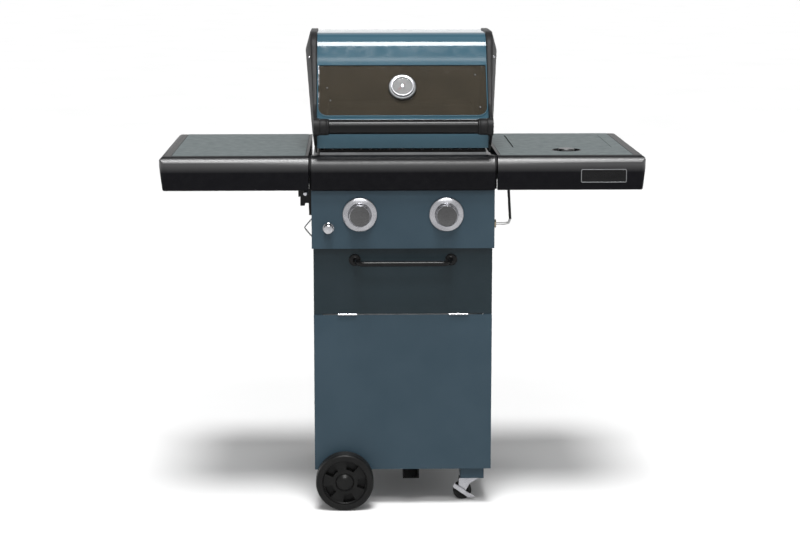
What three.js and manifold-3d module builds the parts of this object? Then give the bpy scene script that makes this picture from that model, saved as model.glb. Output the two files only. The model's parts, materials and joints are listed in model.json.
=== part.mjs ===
// Two-burner gas barbecue on a wheeled cabinet. The left shelf folds down; the right one holds a side burner.
// Millimetres, +Z up. The front faces -Y. The origin is on the floor, under the middle of the whole object.

import * as THREE from "three";
import { mergeVertices } from "three/addons/utils/BufferGeometryUtils.js";
import Module from "manifold-3d";

const wasm = await Module();
wasm.setup();

// ---------------------------------------------------------------- driving dimensions

const GAP = 0.3; // between pieces that touch
const SHEET = 1.5; // folded steel sheet
const ARC_STEP = Math.PI / 12; // coarsest turn per segment of a rounded corner

const SHELF_END = 610; // half the width over both shelves
const SHELF_INNER = 237;
const SHELF_BOTTOM = 826;
const SHELF_TOP = 912;
const SHELF_FRONT = -260;
const SHELF_REAR = 285;
const SHELF_WALL = 4;
const SHELF_SKIN = 7; // thickness of the ledge that carries the top plate
const PLATE = 3; // thickness of the top plates
const SIDE_RAIL = 31; // black margin at the outer end of a shelf
const FRONT_RAIL = 25; // black margin along the front of a shelf
const END_SLANT = 9; // how far the lower edge of a shelf's end lies inside the widest point
const END_PEAK = 3; // how far the slant would run past that point; it is cut off upright there
const RAIL_HALF = 230; // half the width of the rail between the shelves

const CABINET = { half: 227, front: -230, rear: 240, bottom: 97, seam: 505, top: 902.4 };
const FLANGE = 22; // returns of the side panels
const INSIDE = CABINET.half - 2.2; // half the clear width between the side panels
const CHANNEL = { left: 0, right: 42, front: -224, rear: 236, low: 70.5, wall: 2 };
const BRACE = { low: 470, high: 530, depth: 14 };
const CASTER_BOX = { left: 150, right: 210, reach: 44, wall: 2 };
const HANGER = { front: -212, rear: 222, reach: 25, wall: 2 };
const PANEL = { half: 230.5, front: -245, bottom: 677, top: 824 };
const KNOB_X = 109;
const KNOB_Z = 764;
const IGNITER = { x: -188, z: 729 };

const FIREBOX = {
  half: 211, front: -195, rear: 200, wall: 2,
  top: 922, flange: 903, shoulder: 750, bottom: 712,
};
const BURNER_X = KNOB_X;
const BURNER_Z = 790;
const GRATE_LEDGE = 896;
// The grease tray hangs by its flanges on two runners under the firebox.
const RUNNER = { outer: 107.5, lip: 7.5, start: -150, end: 160, low: 704.5, high: 724.5 };
const TRAY = { half: 98, flange: 6, front: -150, rear: 150, low: 690, high: 708, pull: 60, pullDepth: 16 };
const MANIFOLD = { y: -213, z: 735, r: 8, inletX: -150, inletLow: 700, nutEnd: 236 };

const LID = { half: 215.5, front: -218, rear: 240, bottom: 928, top: 1208.5, wall: 2, rearBottom: 960 };
const LID_LEAN = 0.6417; // how far the lid's front leans back per unit of height
const LID_BEND_Z = 996.5;
const WINDOW = { half: 212, low: 1009, high: 1130.5, pane: 4 };
const LID_RIM = 4; // how far the end caps stand proud of the lid
const HINGE = { y: 225, z: 955, r: 4.5 };
const HANDLE = { y: -278, z: 988, r: 18, collar: 20.5, cheek: 22, half: 184.4 };
const GAUGE_Z = 1075;

const WHEEL = { r: 74, half: 22, x: -150, front: -255.5, rear: 272 };
const AXLE_R = 5;
const CASTER = { x: 184, front: -171, rear: 181, r: 24, half: 9, trail: 27, top: 67 };

const SHELF_PIVOT = { x: -245, z: 814, r: 4 };
const BRACKET_Y = 209; // inner faces of the bracket's two cheeks
const COVER = { left: 289, right: 548, front: -55, rear: 230, grip: 3.5, play: 1 };
const SIDE_KNOB = { x: 423, y: -119, hole: 39 };
const PAN = { rim: 5, inset: 11, bottom: 856 }; // of the side burner
const SIDE_BURNER = { x: 418, y: 88, gas: 842 };
const SIDE_VALVE = { half: 12, low: 829, high: 858, bore: 4.1, boreLow: 844 };

// ---------------------------------------------------------------- finishes

const finish = (color, roughness, metalness) => () => {
  return new THREE.MeshStandardMaterial({ color, roughness, metalness });
};
const tealPaint = finish(0x4a6470, 0.38, 0.3);
const platePaint = finish(0x5f6d6e, 0.5, 0.2);
const blackCoat = finish(0x1c1c1f, 0.62, 0.2);
const blackEnamel = finish(0x17181a, 0.35, 0.2);
const castIron = finish(0x222222, 0.8, 0.4);
const steel = finish(0xb4b4b2, 0.35, 0.9);
const chrome = finish(0xdcdde0, 0.12, 1.0);
const brass = finish(0xb08d4a, 0.4, 0.9);
const tintedGlass = finish(0x3f3a32, 0.08, 0.0);
const blackPlastic = finish(0x202020, 0.6, 0.0);
const redPointer = finish(0xb02018, 0.5, 0.0);

// ---------------------------------------------------------------- solids

function solidOf(geometry) {
  const bare = geometry.clone();
  bare.deleteAttribute("normal");
  bare.deleteAttribute("uv");
  const merged = mergeVertices(bare, 1e-4);
  const corners = merged.index.array;
  const kept = [];
  for (let i = 0; i < corners.length; i += 3) {
    const [a, b, c] = corners.slice(i, i + 3);
    if (a !== b && b !== c && c !== a) kept.push(a, b, c);
  }
  const vertProperties = new Float32Array(merged.attributes.position.array);
  const build = (triVerts) => {
    const mesh = new wasm.Mesh({ numProp: 3, vertProperties, triVerts: new Uint32Array(triVerts) });
    return new wasm.Manifold(mesh);
  };
  const solid = build(kept);
  return solid.volume() > 0 ? solid : build(kept.reverse());
}

function geometryOf(solid) {
  const mesh = solid.getMesh();
  const geometry = new THREE.BufferGeometry();
  geometry.setAttribute("position", new THREE.BufferAttribute(new Float32Array(mesh.vertProperties), 3));
  geometry.setIndex(new THREE.BufferAttribute(new Uint32Array(mesh.triVerts), 1));
  geometry.computeVertexNormals();
  return geometry;
}

function join(...geometries) {
  return geometryOf(geometries.map(solidOf).reduce((whole, next) => whole.add(next)));
}

function cut(geometry, ...tools) {
  return geometryOf(tools.map(solidOf).reduce((whole, tool) => whole.subtract(tool), solidOf(geometry)));
}

function common(...geometries) {
  return geometryOf(geometries.map(solidOf).reduce((whole, next) => whole.intersect(next)));
}

function mirrorX(geometry) {
  return geometryOf(solidOf(geometry.clone().scale(-1, 1, 1)));
}

function box(x0, x1, y0, y1, z0, z1) {
  const geometry = new THREE.BoxGeometry(x1 - x0, y1 - y0, z1 - z0);
  return geometry.translate((x0 + x1) / 2, (y0 + y1) / 2, (z0 + z1) / 2);
}

// A flat outline, [u, v] points, pushed along the third axis from a to b.
function prism(points, a, b, holes = []) {
  const shape = new THREE.Shape(points.map(([u, v]) => new THREE.Vector2(u, v)));
  shape.holes = holes.map((hole) => new THREE.Path(hole.map(([u, v]) => new THREE.Vector2(u, v))));
  const geometry = new THREE.ExtrudeGeometry(shape, { depth: b - a, bevelEnabled: false });
  return geometry.translate(0, 0, a);
}

const prismZ = (points, z0, z1, holes) => prism(points, z0, z1, holes);

function prismX(points, x0, x1, holes) {
  const yzx = new THREE.Matrix4().makeBasis(
    new THREE.Vector3(0, 1, 0),
    new THREE.Vector3(0, 0, 1),
    new THREE.Vector3(1, 0, 0),
  );
  return prism(points, x0, x1, holes).applyMatrix4(yzx);
}

function prismY(points, y0, y1, holes) {
  return prism(points, -y1, -y0, holes).rotateX(Math.PI / 2);
}

// A round bar between two points.
function rod(from, to, r, sides = 16) {
  const start = new THREE.Vector3(...from);
  const along = new THREE.Vector3(...to).sub(start);
  const geometry = new THREE.CylinderGeometry(r, r, along.length(), sides);
  geometry.translate(0, along.length() / 2, 0);
  const turn = new THREE.Quaternion().setFromUnitVectors(new THREE.Vector3(0, 1, 0), along.normalize());
  geometry.applyQuaternion(turn);
  return geometry.translate(start.x, start.y, start.z);
}

// A solid of revolution about Z from [radius, height] points that start and end on the axis.
function turned(profile, segments = 32) {
  const lathe = new THREE.LatheGeometry(profile.map(([r, h]) => new THREE.Vector2(r, h)), segments);
  return geometryOf(solidOf(lathe.rotateX(Math.PI / 2)));
}

// The same for a ring, whose profile closes on itself.
const turnedRing = (profile, segments) => turned([...profile, profile[0]], segments);

// A bent bar: straight runs between the points, joined by bends of the given radius.
function bentRod(points, bend, r, sides = 10, steps = 40, bore = 0) {
  const corners = points.map((p) => new THREE.Vector3(...p));
  const path = new THREE.CurvePath();
  let start = corners[0];
  for (let i = 1; i < corners.length - 1; i += 1) {
    const before = corners[i].clone().lerp(corners[i - 1], bend / corners[i].distanceTo(corners[i - 1]));
    const after = corners[i].clone().lerp(corners[i + 1], bend / corners[i].distanceTo(corners[i + 1]));
    path.add(new THREE.LineCurve3(start, before));
    path.add(new THREE.QuadraticBezierCurve3(before, corners[i], after));
    start = after;
  }
  path.add(new THREE.LineCurve3(start, corners[corners.length - 1]));
  const ring = (radius) => circle(0, 0, radius, sides).map(([u, v]) => new THREE.Vector2(u, v));
  const section = new THREE.Shape(ring(r));
  if (bore > 0) section.holes = [new THREE.Path(ring(bore))];
  return new THREE.ExtrudeGeometry(section, { steps, bevelEnabled: false, extrudePath: path });
}

// ---------------------------------------------------------------- outlines

function circle(u, v, r, sides) {
  return arc(u, v, r, 0, (2 * Math.PI * (sides - 1)) / sides, sides - 1);
}

function arc(u, v, r, start, end, steps) {
  const points = [];
  for (let i = 0; i <= steps; i += 1) {
    const angle = start + ((end - start) * i) / steps;
    points.push([u + r * Math.cos(angle), v + r * Math.sin(angle)]);
  }
  return points;
}

// Replaces each [u, v, radius] corner by an arc. The ends of an open line stay sharp.
function rounded(corners, closed = true) {
  const points = [];
  corners.forEach(([u, v, r = 0], i) => {
    const isEnd = !closed && (i === 0 || i === corners.length - 1);
    if (r === 0 || isEnd) {
      points.push([u, v]);
      return;
    }
    const here = new THREE.Vector2(u, v);
    const previous = corners[(i + corners.length - 1) % corners.length];
    const following = corners[(i + 1) % corners.length];
    const back = new THREE.Vector2(previous[0], previous[1]).sub(here).normalize();
    const ahead = new THREE.Vector2(following[0], following[1]).sub(here).normalize();
    const turn = Math.PI - Math.acos(THREE.MathUtils.clamp(back.dot(ahead), -1, 1));
    const side = Math.sign(back.clone().negate().cross(ahead));
    const from = here.clone().addScaledVector(back, r * Math.tan(turn / 2));
    const inward = new THREE.Vector2(back.y, -back.x).multiplyScalar(side);
    const centre = from.clone().addScaledVector(inward, r);
    const first = Math.atan2(from.y - centre.y, from.x - centre.x);
    const steps = Math.max(2, Math.ceil(turn / ARC_STEP));
    points.push(...arc(centre.x, centre.y, r, first, first + side * turn, steps));
  });
  return points;
}

// Moves each corner of a line to its right by d. Counter-clockwise outlines grow, and their arcs with them.
function offset(corners, d, closed = true) {
  const count = corners.length;
  const edge = (i) => {
    const a = corners[(i + count) % count];
    const b = corners[(i + 1 + count) % count];
    return new THREE.Vector2(b[0] - a[0], b[1] - a[1]).normalize();
  };
  return corners.map(([u, v, r = 0], i) => {
    const before = !closed && i === 0 ? edge(i) : edge(i - 1);
    const after = !closed && i === count - 1 ? edge(i - 1) : edge(i);
    const miter = new THREE.Vector2(before.y + after.y, -before.x - after.x);
    miter.multiplyScalar((2 * d) / miter.lengthSq());
    const grow = before.cross(after) > 0 ? d : -d;
    return [u + miter.x, v + miter.y, r === 0 ? 0 : Math.max(r + grow, 0.5)];
  });
}

// The closed outline of a sheet of thickness t that lies to the left of an open line.
function sheetOutline(corners, t) {
  return [...rounded(corners, false), ...rounded(offset(corners, -t, false), false).reverse()];
}

// A skin over outlines of equal point counts, each in a plane of constant X.
function loftX(sections) {
  const count = sections[0].points.length;
  const positions = sections.flatMap(({ x, points }) => points.flatMap(([y, z]) => [x, y, z]));
  const index = [];
  for (let s = 0; s + 1 < sections.length; s += 1) {
    for (let i = 0; i < count; i += 1) {
      const a = s * count + i;
      const b = s * count + ((i + 1) % count);
      index.push(a, b, b + count, a, b + count, a + count);
    }
  }
  const face = (points) => {
    return THREE.ShapeUtils.triangulateShape(points.map(([y, z]) => new THREE.Vector2(y, z)), []);
  };
  const last = (sections.length - 1) * count;
  face(sections[0].points).forEach(([a, b, c]) => index.push(c, b, a));
  face(sections[sections.length - 1].points).forEach(([a, b, c]) => index.push(last + a, last + b, last + c));
  const geometry = new THREE.BufferGeometry();
  geometry.setAttribute("position", new THREE.Float32BufferAttribute(positions, 3));
  geometry.setIndex(index);
  return geometry;
}

// ---------------------------------------------------------------- placing

const grill = new THREE.Group();

function part(name, geometry, material, parent = grill) {
  const mesh = new THREE.Mesh(geometry, material());
  mesh.name = name;
  parent.add(mesh);
  return mesh;
}

// A group whose +Z points out of the front of the object, for pieces turned about that axis.
function facingFront(x, y, z) {
  const group = new THREE.Group();
  group.position.set(x, y, z);
  group.rotation.x = Math.PI / 2;
  grill.add(group);
  return group;
}

// ---------------------------------------------------------------- cabinet

function sidePanel() {
  const outer = CABINET.half - GAP;
  const inner = outer - SHEET;
  const lip = CABINET.half - FLANGE;
  const front = CABINET.front + SHEET + 0.6;
  const section = [
    [lip, front],
    [outer, front],
    [outer, CABINET.rear],
    [lip, CABINET.rear],
    [lip, CABINET.rear - SHEET],
    [inner, CABINET.rear - SHEET],
    [inner, front + SHEET],
    [lip, front + SHEET],
  ];
  return prismZ(section, CABINET.bottom + 2, CABINET.top);
}

function cabinet() {
  const pipeHole = rod([210, MANIFOLD.y, MANIFOLD.z], [240, MANIFOLD.y, MANIFOLD.z], MANIFOLD.r + 2);
  part("right_side_panel", cut(sidePanel(), pipeHole), tealPaint);
  part("left_side_panel", mirrorX(sidePanel()), tealPaint);

  const back = CABINET.rear - SHEET - GAP;
  const brace = join(
    box(-INSIDE, INSIDE, back - SHEET, back, BRACE.low, BRACE.high),
    box(-INSIDE, INSIDE, back - BRACE.depth, back, BRACE.low, BRACE.low + SHEET),
    box(-INSIDE, INSIDE, back - BRACE.depth, back, BRACE.high - SHEET, BRACE.high),
  );
  part("rear_brace", brace, tealPaint);
  part("base_tray", baseTray(back), tealPaint);

  const { left, right, front, rear, low, wall } = CHANNEL;
  const high = CABINET.bottom + 3 - GAP;
  const channel = cut(
    box(left, right, front, rear, low, high),
    box(left + wall, right - wall, front - 1, rear + 1, low + wall, high + 1),
  );
  part("centre_channel", channel, blackCoat);

  const lip = CABINET.half - FLANGE - 2;
  const [outside, seam] = [CABINET.front, CABINET.seam - SHEET];
  const lower = join(
    box(-CABINET.half, CABINET.half, outside, outside + SHEET, CABINET.bottom, seam),
    box(-lip, lip, outside, outside + 18, seam - SHEET, seam),
  );
  part("lower_front_panel", lower, tealPaint);
}

// A shallow tray with the two axle hangers and the two caster boxes welded under it.
function baseTray(back) {
  const front = CABINET.front + 2 * SHEET + 0.9;
  const floor = CABINET.bottom + 3;
  const rim = 25;
  const weld = floor + 0.5; // parts under the tray run this far into its floor
  const tray = cut(
    box(-INSIDE, INSIDE, front, back, floor, floor + rim),
    box(-INSIDE + SHEET, INSIDE - SHEET, front + SHEET, back - SHEET, floor + SHEET, floor + rim + 1),
  );
  const hanger = (y) => {
    const { reach, wall } = HANGER;
    const plate = box(WHEEL.x - reach, WHEEL.x + reach, y, y + wall, WHEEL.r - 13, weld);
    return cut(plate, rod([WHEEL.x, y - 1, WHEEL.r], [WHEEL.x, y + wall + 1, WHEEL.r], AXLE_R + 0.4));
  };
  const casterBox = (centre, towards) => {
    const { left, right, reach, wall } = CASTER_BOX;
    const closed = centre + towards * reach;
    const ends = [Math.min(closed, closed - towards * wall), Math.max(closed, closed - towards * wall)];
    return join(
      box(left, right, centre - reach, centre + reach, CASTER.top, CASTER.top + wall),
      box(left, left + wall, centre - reach, centre + reach, CASTER.top, weld),
      box(right - wall, right, centre - reach, centre + reach, CASTER.top, weld),
      box(left, right, ends[0], ends[1], CASTER.top, weld),
    );
  };
  const boxes = [casterBox(CASTER.front, -1), casterBox(CASTER.rear, 1)];
  return join(tray, hanger(HANGER.front), hanger(HANGER.rear), ...boxes);
}

function controlPanel() {
  const { half, front, bottom, top } = PANEL;
  const back = CABINET.front + 0.5;
  const shell = join(
    box(-half, half, front, front + SHEET, bottom, top),
    box(-half, -half + SHEET, front, back, bottom, top),
    box(half - SHEET, half, front, back, bottom, top),
    box(-half, half, front, back, top - SHEET, top),
    box(-half, half, front, back - 1, bottom, bottom + SHEET),
  );
  const hole = (x, z, r) => rod([x, front - 10, z], [x, front + 10, z], r);
  const holes = [hole(-KNOB_X, KNOB_Z, 6.5), hole(KNOB_X, KNOB_Z, 6.5), hole(IGNITER.x, IGNITER.z, 9)];
  part("control_panel", cut(shell, ...holes), tealPaint);
}

// The bullnose of the rail and of both shelves: a line in the YZ plane from the lower lip to the top.
const NOSE_LOW_R = 6;
const NOSE_HIGH_R = 28;
const BULLNOSE = [
  [CABINET.front - 1, SHELF_BOTTOM],
  [SHELF_FRONT, SHELF_BOTTOM, NOSE_LOW_R],
  [SHELF_FRONT, SHELF_TOP, NOSE_HIGH_R],
  [CABINET.front + 7.5, SHELF_TOP],
];

function frontRail() {
  // The line runs clockwise seen from +X, so a negative thickness puts the sheet inside the bullnose.
  const sheet = 3;
  const cover = prismX(sheetOutline(BULLNOSE, -sheet), -RAIL_HALF, RAIL_HALF);
  const ears = [-1, 1].map((side) => {
    const [x0, x1] = side < 0 ? [-SHELF_INNER + 1, -RAIL_HALF + 1] : [RAIL_HALF - 1, SHELF_INNER - 1];
    return box(x0, x1, CABINET.front - 6, CABINET.front - 1.5, SHELF_BOTTOM + 0.5, SHELF_TOP - 0.5);
  });
  part("front_rail", join(cover, ...ears), blackCoat);

  const [half, front, low, rise] = [209, CABINET.front + 1, SHELF_TOP + GAP, 6.7];
  const trim = join(
    box(-half, half, front, FIREBOX.front - GAP, low, low + 1),
    box(-half, half, front, front + SHEET, low, low + rise),
  );
  part("firebox_trim", trim, steel);
}

// ---------------------------------------------------------------- firebox and burners

function firebox() {
  const { half, front, rear, top, flange, shoulder, bottom, wall } = FIREBOX;
  const sump = 60;
  const hull = (inset) => [
    [-half + inset, top + inset],
    [-half + inset, shoulder + inset],
    [-sump, bottom + inset],
    [sump, bottom + inset],
    [half - inset, shoulder + inset],
    [half - inset, top + inset],
  ];
  const bowl = cut(prismY(hull(0), front, rear), prismY(hull(wall), front + wall, rear - wall));
  const collar = cut(
    box(-CABINET.half, CABINET.half, CABINET.front + 8, CABINET.rear - 4, flange, flange + SHEET),
    box(-half + 1, half - 1, front + 1, rear - 1, flange - 5, flange + 5),
  );
  const [ledge, ledgeSheet] = [12, 3];
  const ledgeAt = (y0, y1) => box(-half + 1, half - 1, y0, y1, GRATE_LEDGE - ledgeSheet, GRATE_LEDGE);
  const ledges = [ledgeAt(front + 1, front + ledge), ledgeAt(rear - ledge, rear - 1)];
  const earOutline = [
    [rear - 10, 880],
    [rear, 880],
    ...arc(HINGE.y, HINGE.z, 8, -Math.PI / 4, Math.PI * 0.75, 8),
    [rear - 10, top],
  ];
  const ears = [-1, 1].map((side) => {
    const [x0, x1] = side < 0 ? [-half, -half + wall + 0.5] : [half - wall - 0.5, half];
    return prismX(earOutline, x0, x1);
  });
  const runner = (side) => {
    const { outer, lip, start, end, low, high } = RUNNER;
    const upright = side < 0 ? [-outer, -outer + SHEET] : [outer - SHEET, outer];
    const under = side < 0 ? [-outer, -outer + lip] : [outer - lip, outer];
    return join(box(...upright, start, end, low, high), box(...under, start, end, low, low + SHEET));
  };
  const shell = join(bowl, collar, ...ledges, ...ears, runner(-1), runner(1));
  const mouth = (x) => rod([x, front - 5, KNOB_Z], [x, front + 5, KNOB_Z], 15);
  const pinHole = rod([-half - 5, HINGE.y, HINGE.z], [half + 5, HINGE.y, HINGE.z], HINGE.r + 0.4);
  const drainHalf = 30;
  const drain = box(-drainHalf, drainHalf, -drainHalf, drainHalf, bottom - 5, bottom + 5);
  part("firebox", cut(shell, mouth(-BURNER_X), mouth(BURNER_X), pinHole, drain), blackEnamel);
}

function burner(side, x) {
  const run = bentRod(
    [
      [x, -203, KNOB_Z],
      [x, -178, KNOB_Z],
      [x, -140, BURNER_Z],
      [x, 152, BURNER_Z],
    ],
    14, 12.5, 10, 12, 11,
  );
  const crimp = box(x - 13, x + 13, 146, 162, BURNER_Z - 2, BURNER_Z + 2);
  part(`${side}_burner`, join(run, crimp), steel);

  const [reach, rise, apex] = [55, 30, 872];
  const roof = [
    [x - reach, apex - rise],
    [x - reach, apex - rise - 2],
    [x, apex - 2],
    [x + reach, apex - rise - 2],
    [x + reach, apex - rise],
    [x, apex],
  ];
  part(`${side}_flame_tamer`, prismY(roof, FIREBOX.front + 2.5, FIREBOX.rear - 2.5), steel);
}

function grate(side, x0, x1) {
  const [y0, y1] = [FIREBOX.front + 3, FIREBOX.rear - 3];
  const low = GRATE_LEDGE + GAP;
  const bars = 9;
  const width = 7;
  const pieces = [];
  for (let i = 0; i < bars; i += 1) {
    const x = x0 + ((x1 - x0 - width) * i) / (bars - 1);
    pieces.push(box(x, x + width, y0, y1, low + 3, low + 13));
  }
  for (const y of [y0, (y0 + y1) / 2 - 5, y1 - 10]) {
    pieces.push(box(x0, x1, y, y + 10, low, low + 7));
  }
  part(`${side}_grate`, join(...pieces), castIron);
}

function warmingRack() {
  const [reach, height, wire] = [188, 1015, 2];
  const [front, rear, wires] = [-5, 145, 7];
  const foot = FIREBOX.top + GAP + 1.4;
  const pieces = [];
  for (let i = 0; i < wires; i += 1) {
    const y = front + ((rear - front) * i) / (wires - 1);
    pieces.push(rod([-reach, y, height], [reach, y, height], wire, 6));
  }
  for (const side of [-1, 1]) {
    pieces.push(rod([side * reach, front - 2, height], [side * reach, rear + 2, height], 2.6, 6));
    for (const y of [front + 8, rear - 8]) {
      pieces.push(rod([side * reach, y, height], [side * 208, y, foot], wire, 6));
    }
    pieces.push(rod([side * 208, front, foot], [side * 208, rear, foot], 1.4, 6));
  }
  part("warming_rack", join(...pieces), steel);
}

function gasManifold() {
  const { y, z, r, inletX, inletLow, nutEnd } = MANIFOLD;
  const rail = rod([inletX - 6, y, z], [nutEnd - 5, y, z], r, 14);
  const nut = rod([CABINET.half + 0.5, y, z], [nutEnd, y, z], r + 3, 6);
  const drop = rod([inletX, y, z], [inletX, y, inletLow + 6], r, 14);
  const inlet = rod([inletX, y, inletLow + 12], [inletX, y, inletLow], r + 4, 6);
  const valve = { half: 12, front: -236, rear: -208, rise: 14, nozzle: 4, bore: 4.6, boreEnd: -218 };
  const valves = [-KNOB_X, KNOB_X].map((x) => {
    const body = join(
      box(x - valve.half, x + valve.half, valve.front, valve.rear, z, KNOB_Z + valve.rise),
      rod([x, valve.rear - 2, KNOB_Z], [x, valve.rear + 4, KNOB_Z], valve.nozzle, 8),
    );
    return cut(body, rod([x, valve.front - 4, KNOB_Z], [x, valve.boreEnd, KNOB_Z], valve.bore, 12));
  });
  part("gas_manifold", join(rail, nut, drop, inlet, ...valves), brass);

  const rise = 850; // height of the pipe's run inside the shelf
  const route = [
    [nutEnd + GAP, y, z],
    [nutEnd + 37, y, z],
    [nutEnd + 30, y, rise],
    [350, SIDE_KNOB.y, rise],
    [SIDE_KNOB.x - SIDE_VALVE.half - GAP, SIDE_KNOB.y, rise],
  ];
  part("side_gas_pipe", bentRod(route, 12, 3.4, 8, 30), steel);
}

// ---------------------------------------------------------------- controls

function control(side, x) {
  const onPanel = facingFront(x, PANEL.front - GAP, KNOB_Z);
  const bezel = [[9, 0], [43.5, 0], [43.5, 5], [41.5, 9.5], [37, 9.5], [34, 3], [9, 3]];
  part(`${side}_bezel`, turnedRing(bezel, 24), chrome, onPanel);

  const back = 7.2; // from the panel to the back of the knob
  const stem = turned([[0, -20], [4, -20], [4, back + 17], [0, back + 17]], 12);
  part(`${side}_valve_stem`, stem, steel, onPanel);

  const knob = [[0, 18], [4.4, 18], [4.4, 0], [26, 0], [27.5, 2], [27.5, 25], [26, 27.5], [23.5, 27.5], [22.5, 26.3]];
  const mesh = part(`${side}_knob`, turned([...knob, [0, 26.3]], 24), chrome, onPanel);
  mesh.position.z = back;
}

function igniter() {
  const onPanel = facingFront(IGNITER.x, PANEL.front, IGNITER.z);
  const profile = [[0, -8], [7.5, -8], [7.5, 7], [12, 7], [12.5, 9], [12.5, 17], [10, 20.5], [0, 21.5]];
  part("igniter_button", turned(profile, 16), chrome, onPanel);
}

// ---------------------------------------------------------------- front flap

function flap() {
  const { half, front, seam } = CABINET;
  const [low, high] = [seam + SHEET, PANEL.bottom - SHEET];
  const lip = half - FLANGE - 2;
  const deep = front + 16;
  const panel = join(
    box(-half + 0.5, half - 0.5, front, front + SHEET, low, high),
    box(-lip, lip, front, deep, high - SHEET, high),
    box(-lip, -lip + SHEET, front, deep, low + 6, high),
    box(lip - SHEET, lip, front, deep, low + 6, high),
  );
  part("flap_panel", panel, tealPaint);

  const [mountX, mountZ, barX, barY, barZ] = [122, 646, 112, -274, 642.5];
  const face = front - GAP;
  const bar = bentRod(
    [
      [-mountX, face - 1, mountZ],
      [-barX, barY, barZ],
      [barX, barY, barZ],
      [mountX, face - 1, mountZ],
    ],
    17, 6.5, 8, 28,
  );
  const discs = [-1, 1].map((side) => {
    return rod([side * mountX, face - 4, mountZ], [side * mountX, face, mountZ], 15, 16);
  });
  const trimmed = cut(join(bar, ...discs), box(-200, 200, face, face + 20, mountZ - 30, mountZ + 30));
  part("flap_handle", trimmed, blackCoat);

  const [knuckleNear, knuckleFar, knuckleR] = [117, 166, 2.4];
  for (const [side, x0, x1] of [["left", -knuckleFar, -knuckleNear], ["right", knuckleNear, knuckleFar]]) {
    const axis = front - knuckleR - 0.2;
    const barrel = rod([x0, axis, seam], [x1, axis, seam], knuckleR, 12);
    const leaf = box(x0, x1, axis, deep, seam - SHEET + GAP, seam + GAP);
    part(`${side}_flap_hinge`, join(barrel, leaf), chrome);
  }
}

function greaseTray() {
  const { half, flange, front, rear, low, high, pull, pullDepth } = TRAY;
  const tub = cut(
    box(-half, half, front, rear, low, high),
    box(-half + SHEET, half - SHEET, front + SHEET, rear - SHEET, low + SHEET, high + 5),
  );
  const flanges = [-1, 1].map((side) => {
    const [x0, x1] = side < 0 ? [-half - flange, -half + 0.5] : [half - 0.5, half + flange];
    return box(x0, x1, front, rear, high - SHEET, high);
  });
  const grip = box(-pull, pull, rear - 0.5, rear + pullDepth, high - SHEET, high);
  part("grease_tray", join(tub, ...flanges, grip), steel);
}

// ---------------------------------------------------------------- shelves

// The right shelf's outer form, shrunk by inset, from zLow up.
function shelfForm(inset, zLow) {
  const [x0, x1] = [SHELF_INNER + inset, SHELF_END - inset];
  const [y0, y1] = [SHELF_FRONT + inset, SHELF_REAR - inset];
  const top = SHELF_TOP - (inset > 0 ? SHELF_SKIN : 0);
  const round = (r) => Math.max(r - inset, 1);
  const side = rounded([
    [y0, zLow, round(NOSE_LOW_R)],
    [y1, zLow, round(4)],
    [y1, top, round(4)],
    [y0, top, round(NOSE_HIGH_R)],
  ]);
  const plan = rounded([[x0, y0], [x1, y0, round(22)], [x1, y1, round(20)], [x0, y1]]);
  const end = rounded([[x0, zLow], [x1 - END_SLANT, zLow, round(6)], [x1 + END_PEAK, top, round(16)], [x0, top]]);
  return common(prismX(side, x0, x1), prismZ(plan, zLow, top), prismY(end, y0, y1));
}

function shelfFrame(extras) {
  const reach = SIDE_RAIL + 5;
  const window = box(SHELF_INNER + 13, SHELF_END - reach, SHELF_FRONT + FRONT_RAIL + 6, SHELF_REAR - 9, 895, 920);
  const recess = box(
    SHELF_INNER + 7.7, SHELF_END - SIDE_RAIL + 0.3,
    SHELF_FRONT + FRONT_RAIL - 0.3, SHELF_REAR + 5,
    SHELF_TOP - PLATE - GAP, SHELF_TOP + 5,
  );
  const step = box(SHELF_INNER - 1, SHELF_INNER + 6, SHELF_FRONT + FRONT_RAIL, SHELF_REAR - 12, 820, 850);
  const frame = cut(shelfForm(0, SHELF_BOTTOM), shelfForm(SHELF_WALL, SHELF_BOTTOM - 20), window, recess, step);
  return extras.length > 0 ? join(frame, ...extras) : frame;
}

const PLATE_BOX = [
  SHELF_INNER + 8, SHELF_END - SIDE_RAIL,
  SHELF_FRONT + FRONT_RAIL, SHELF_REAR - 1,
  SHELF_TOP - PLATE, SHELF_TOP,
];

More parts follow.
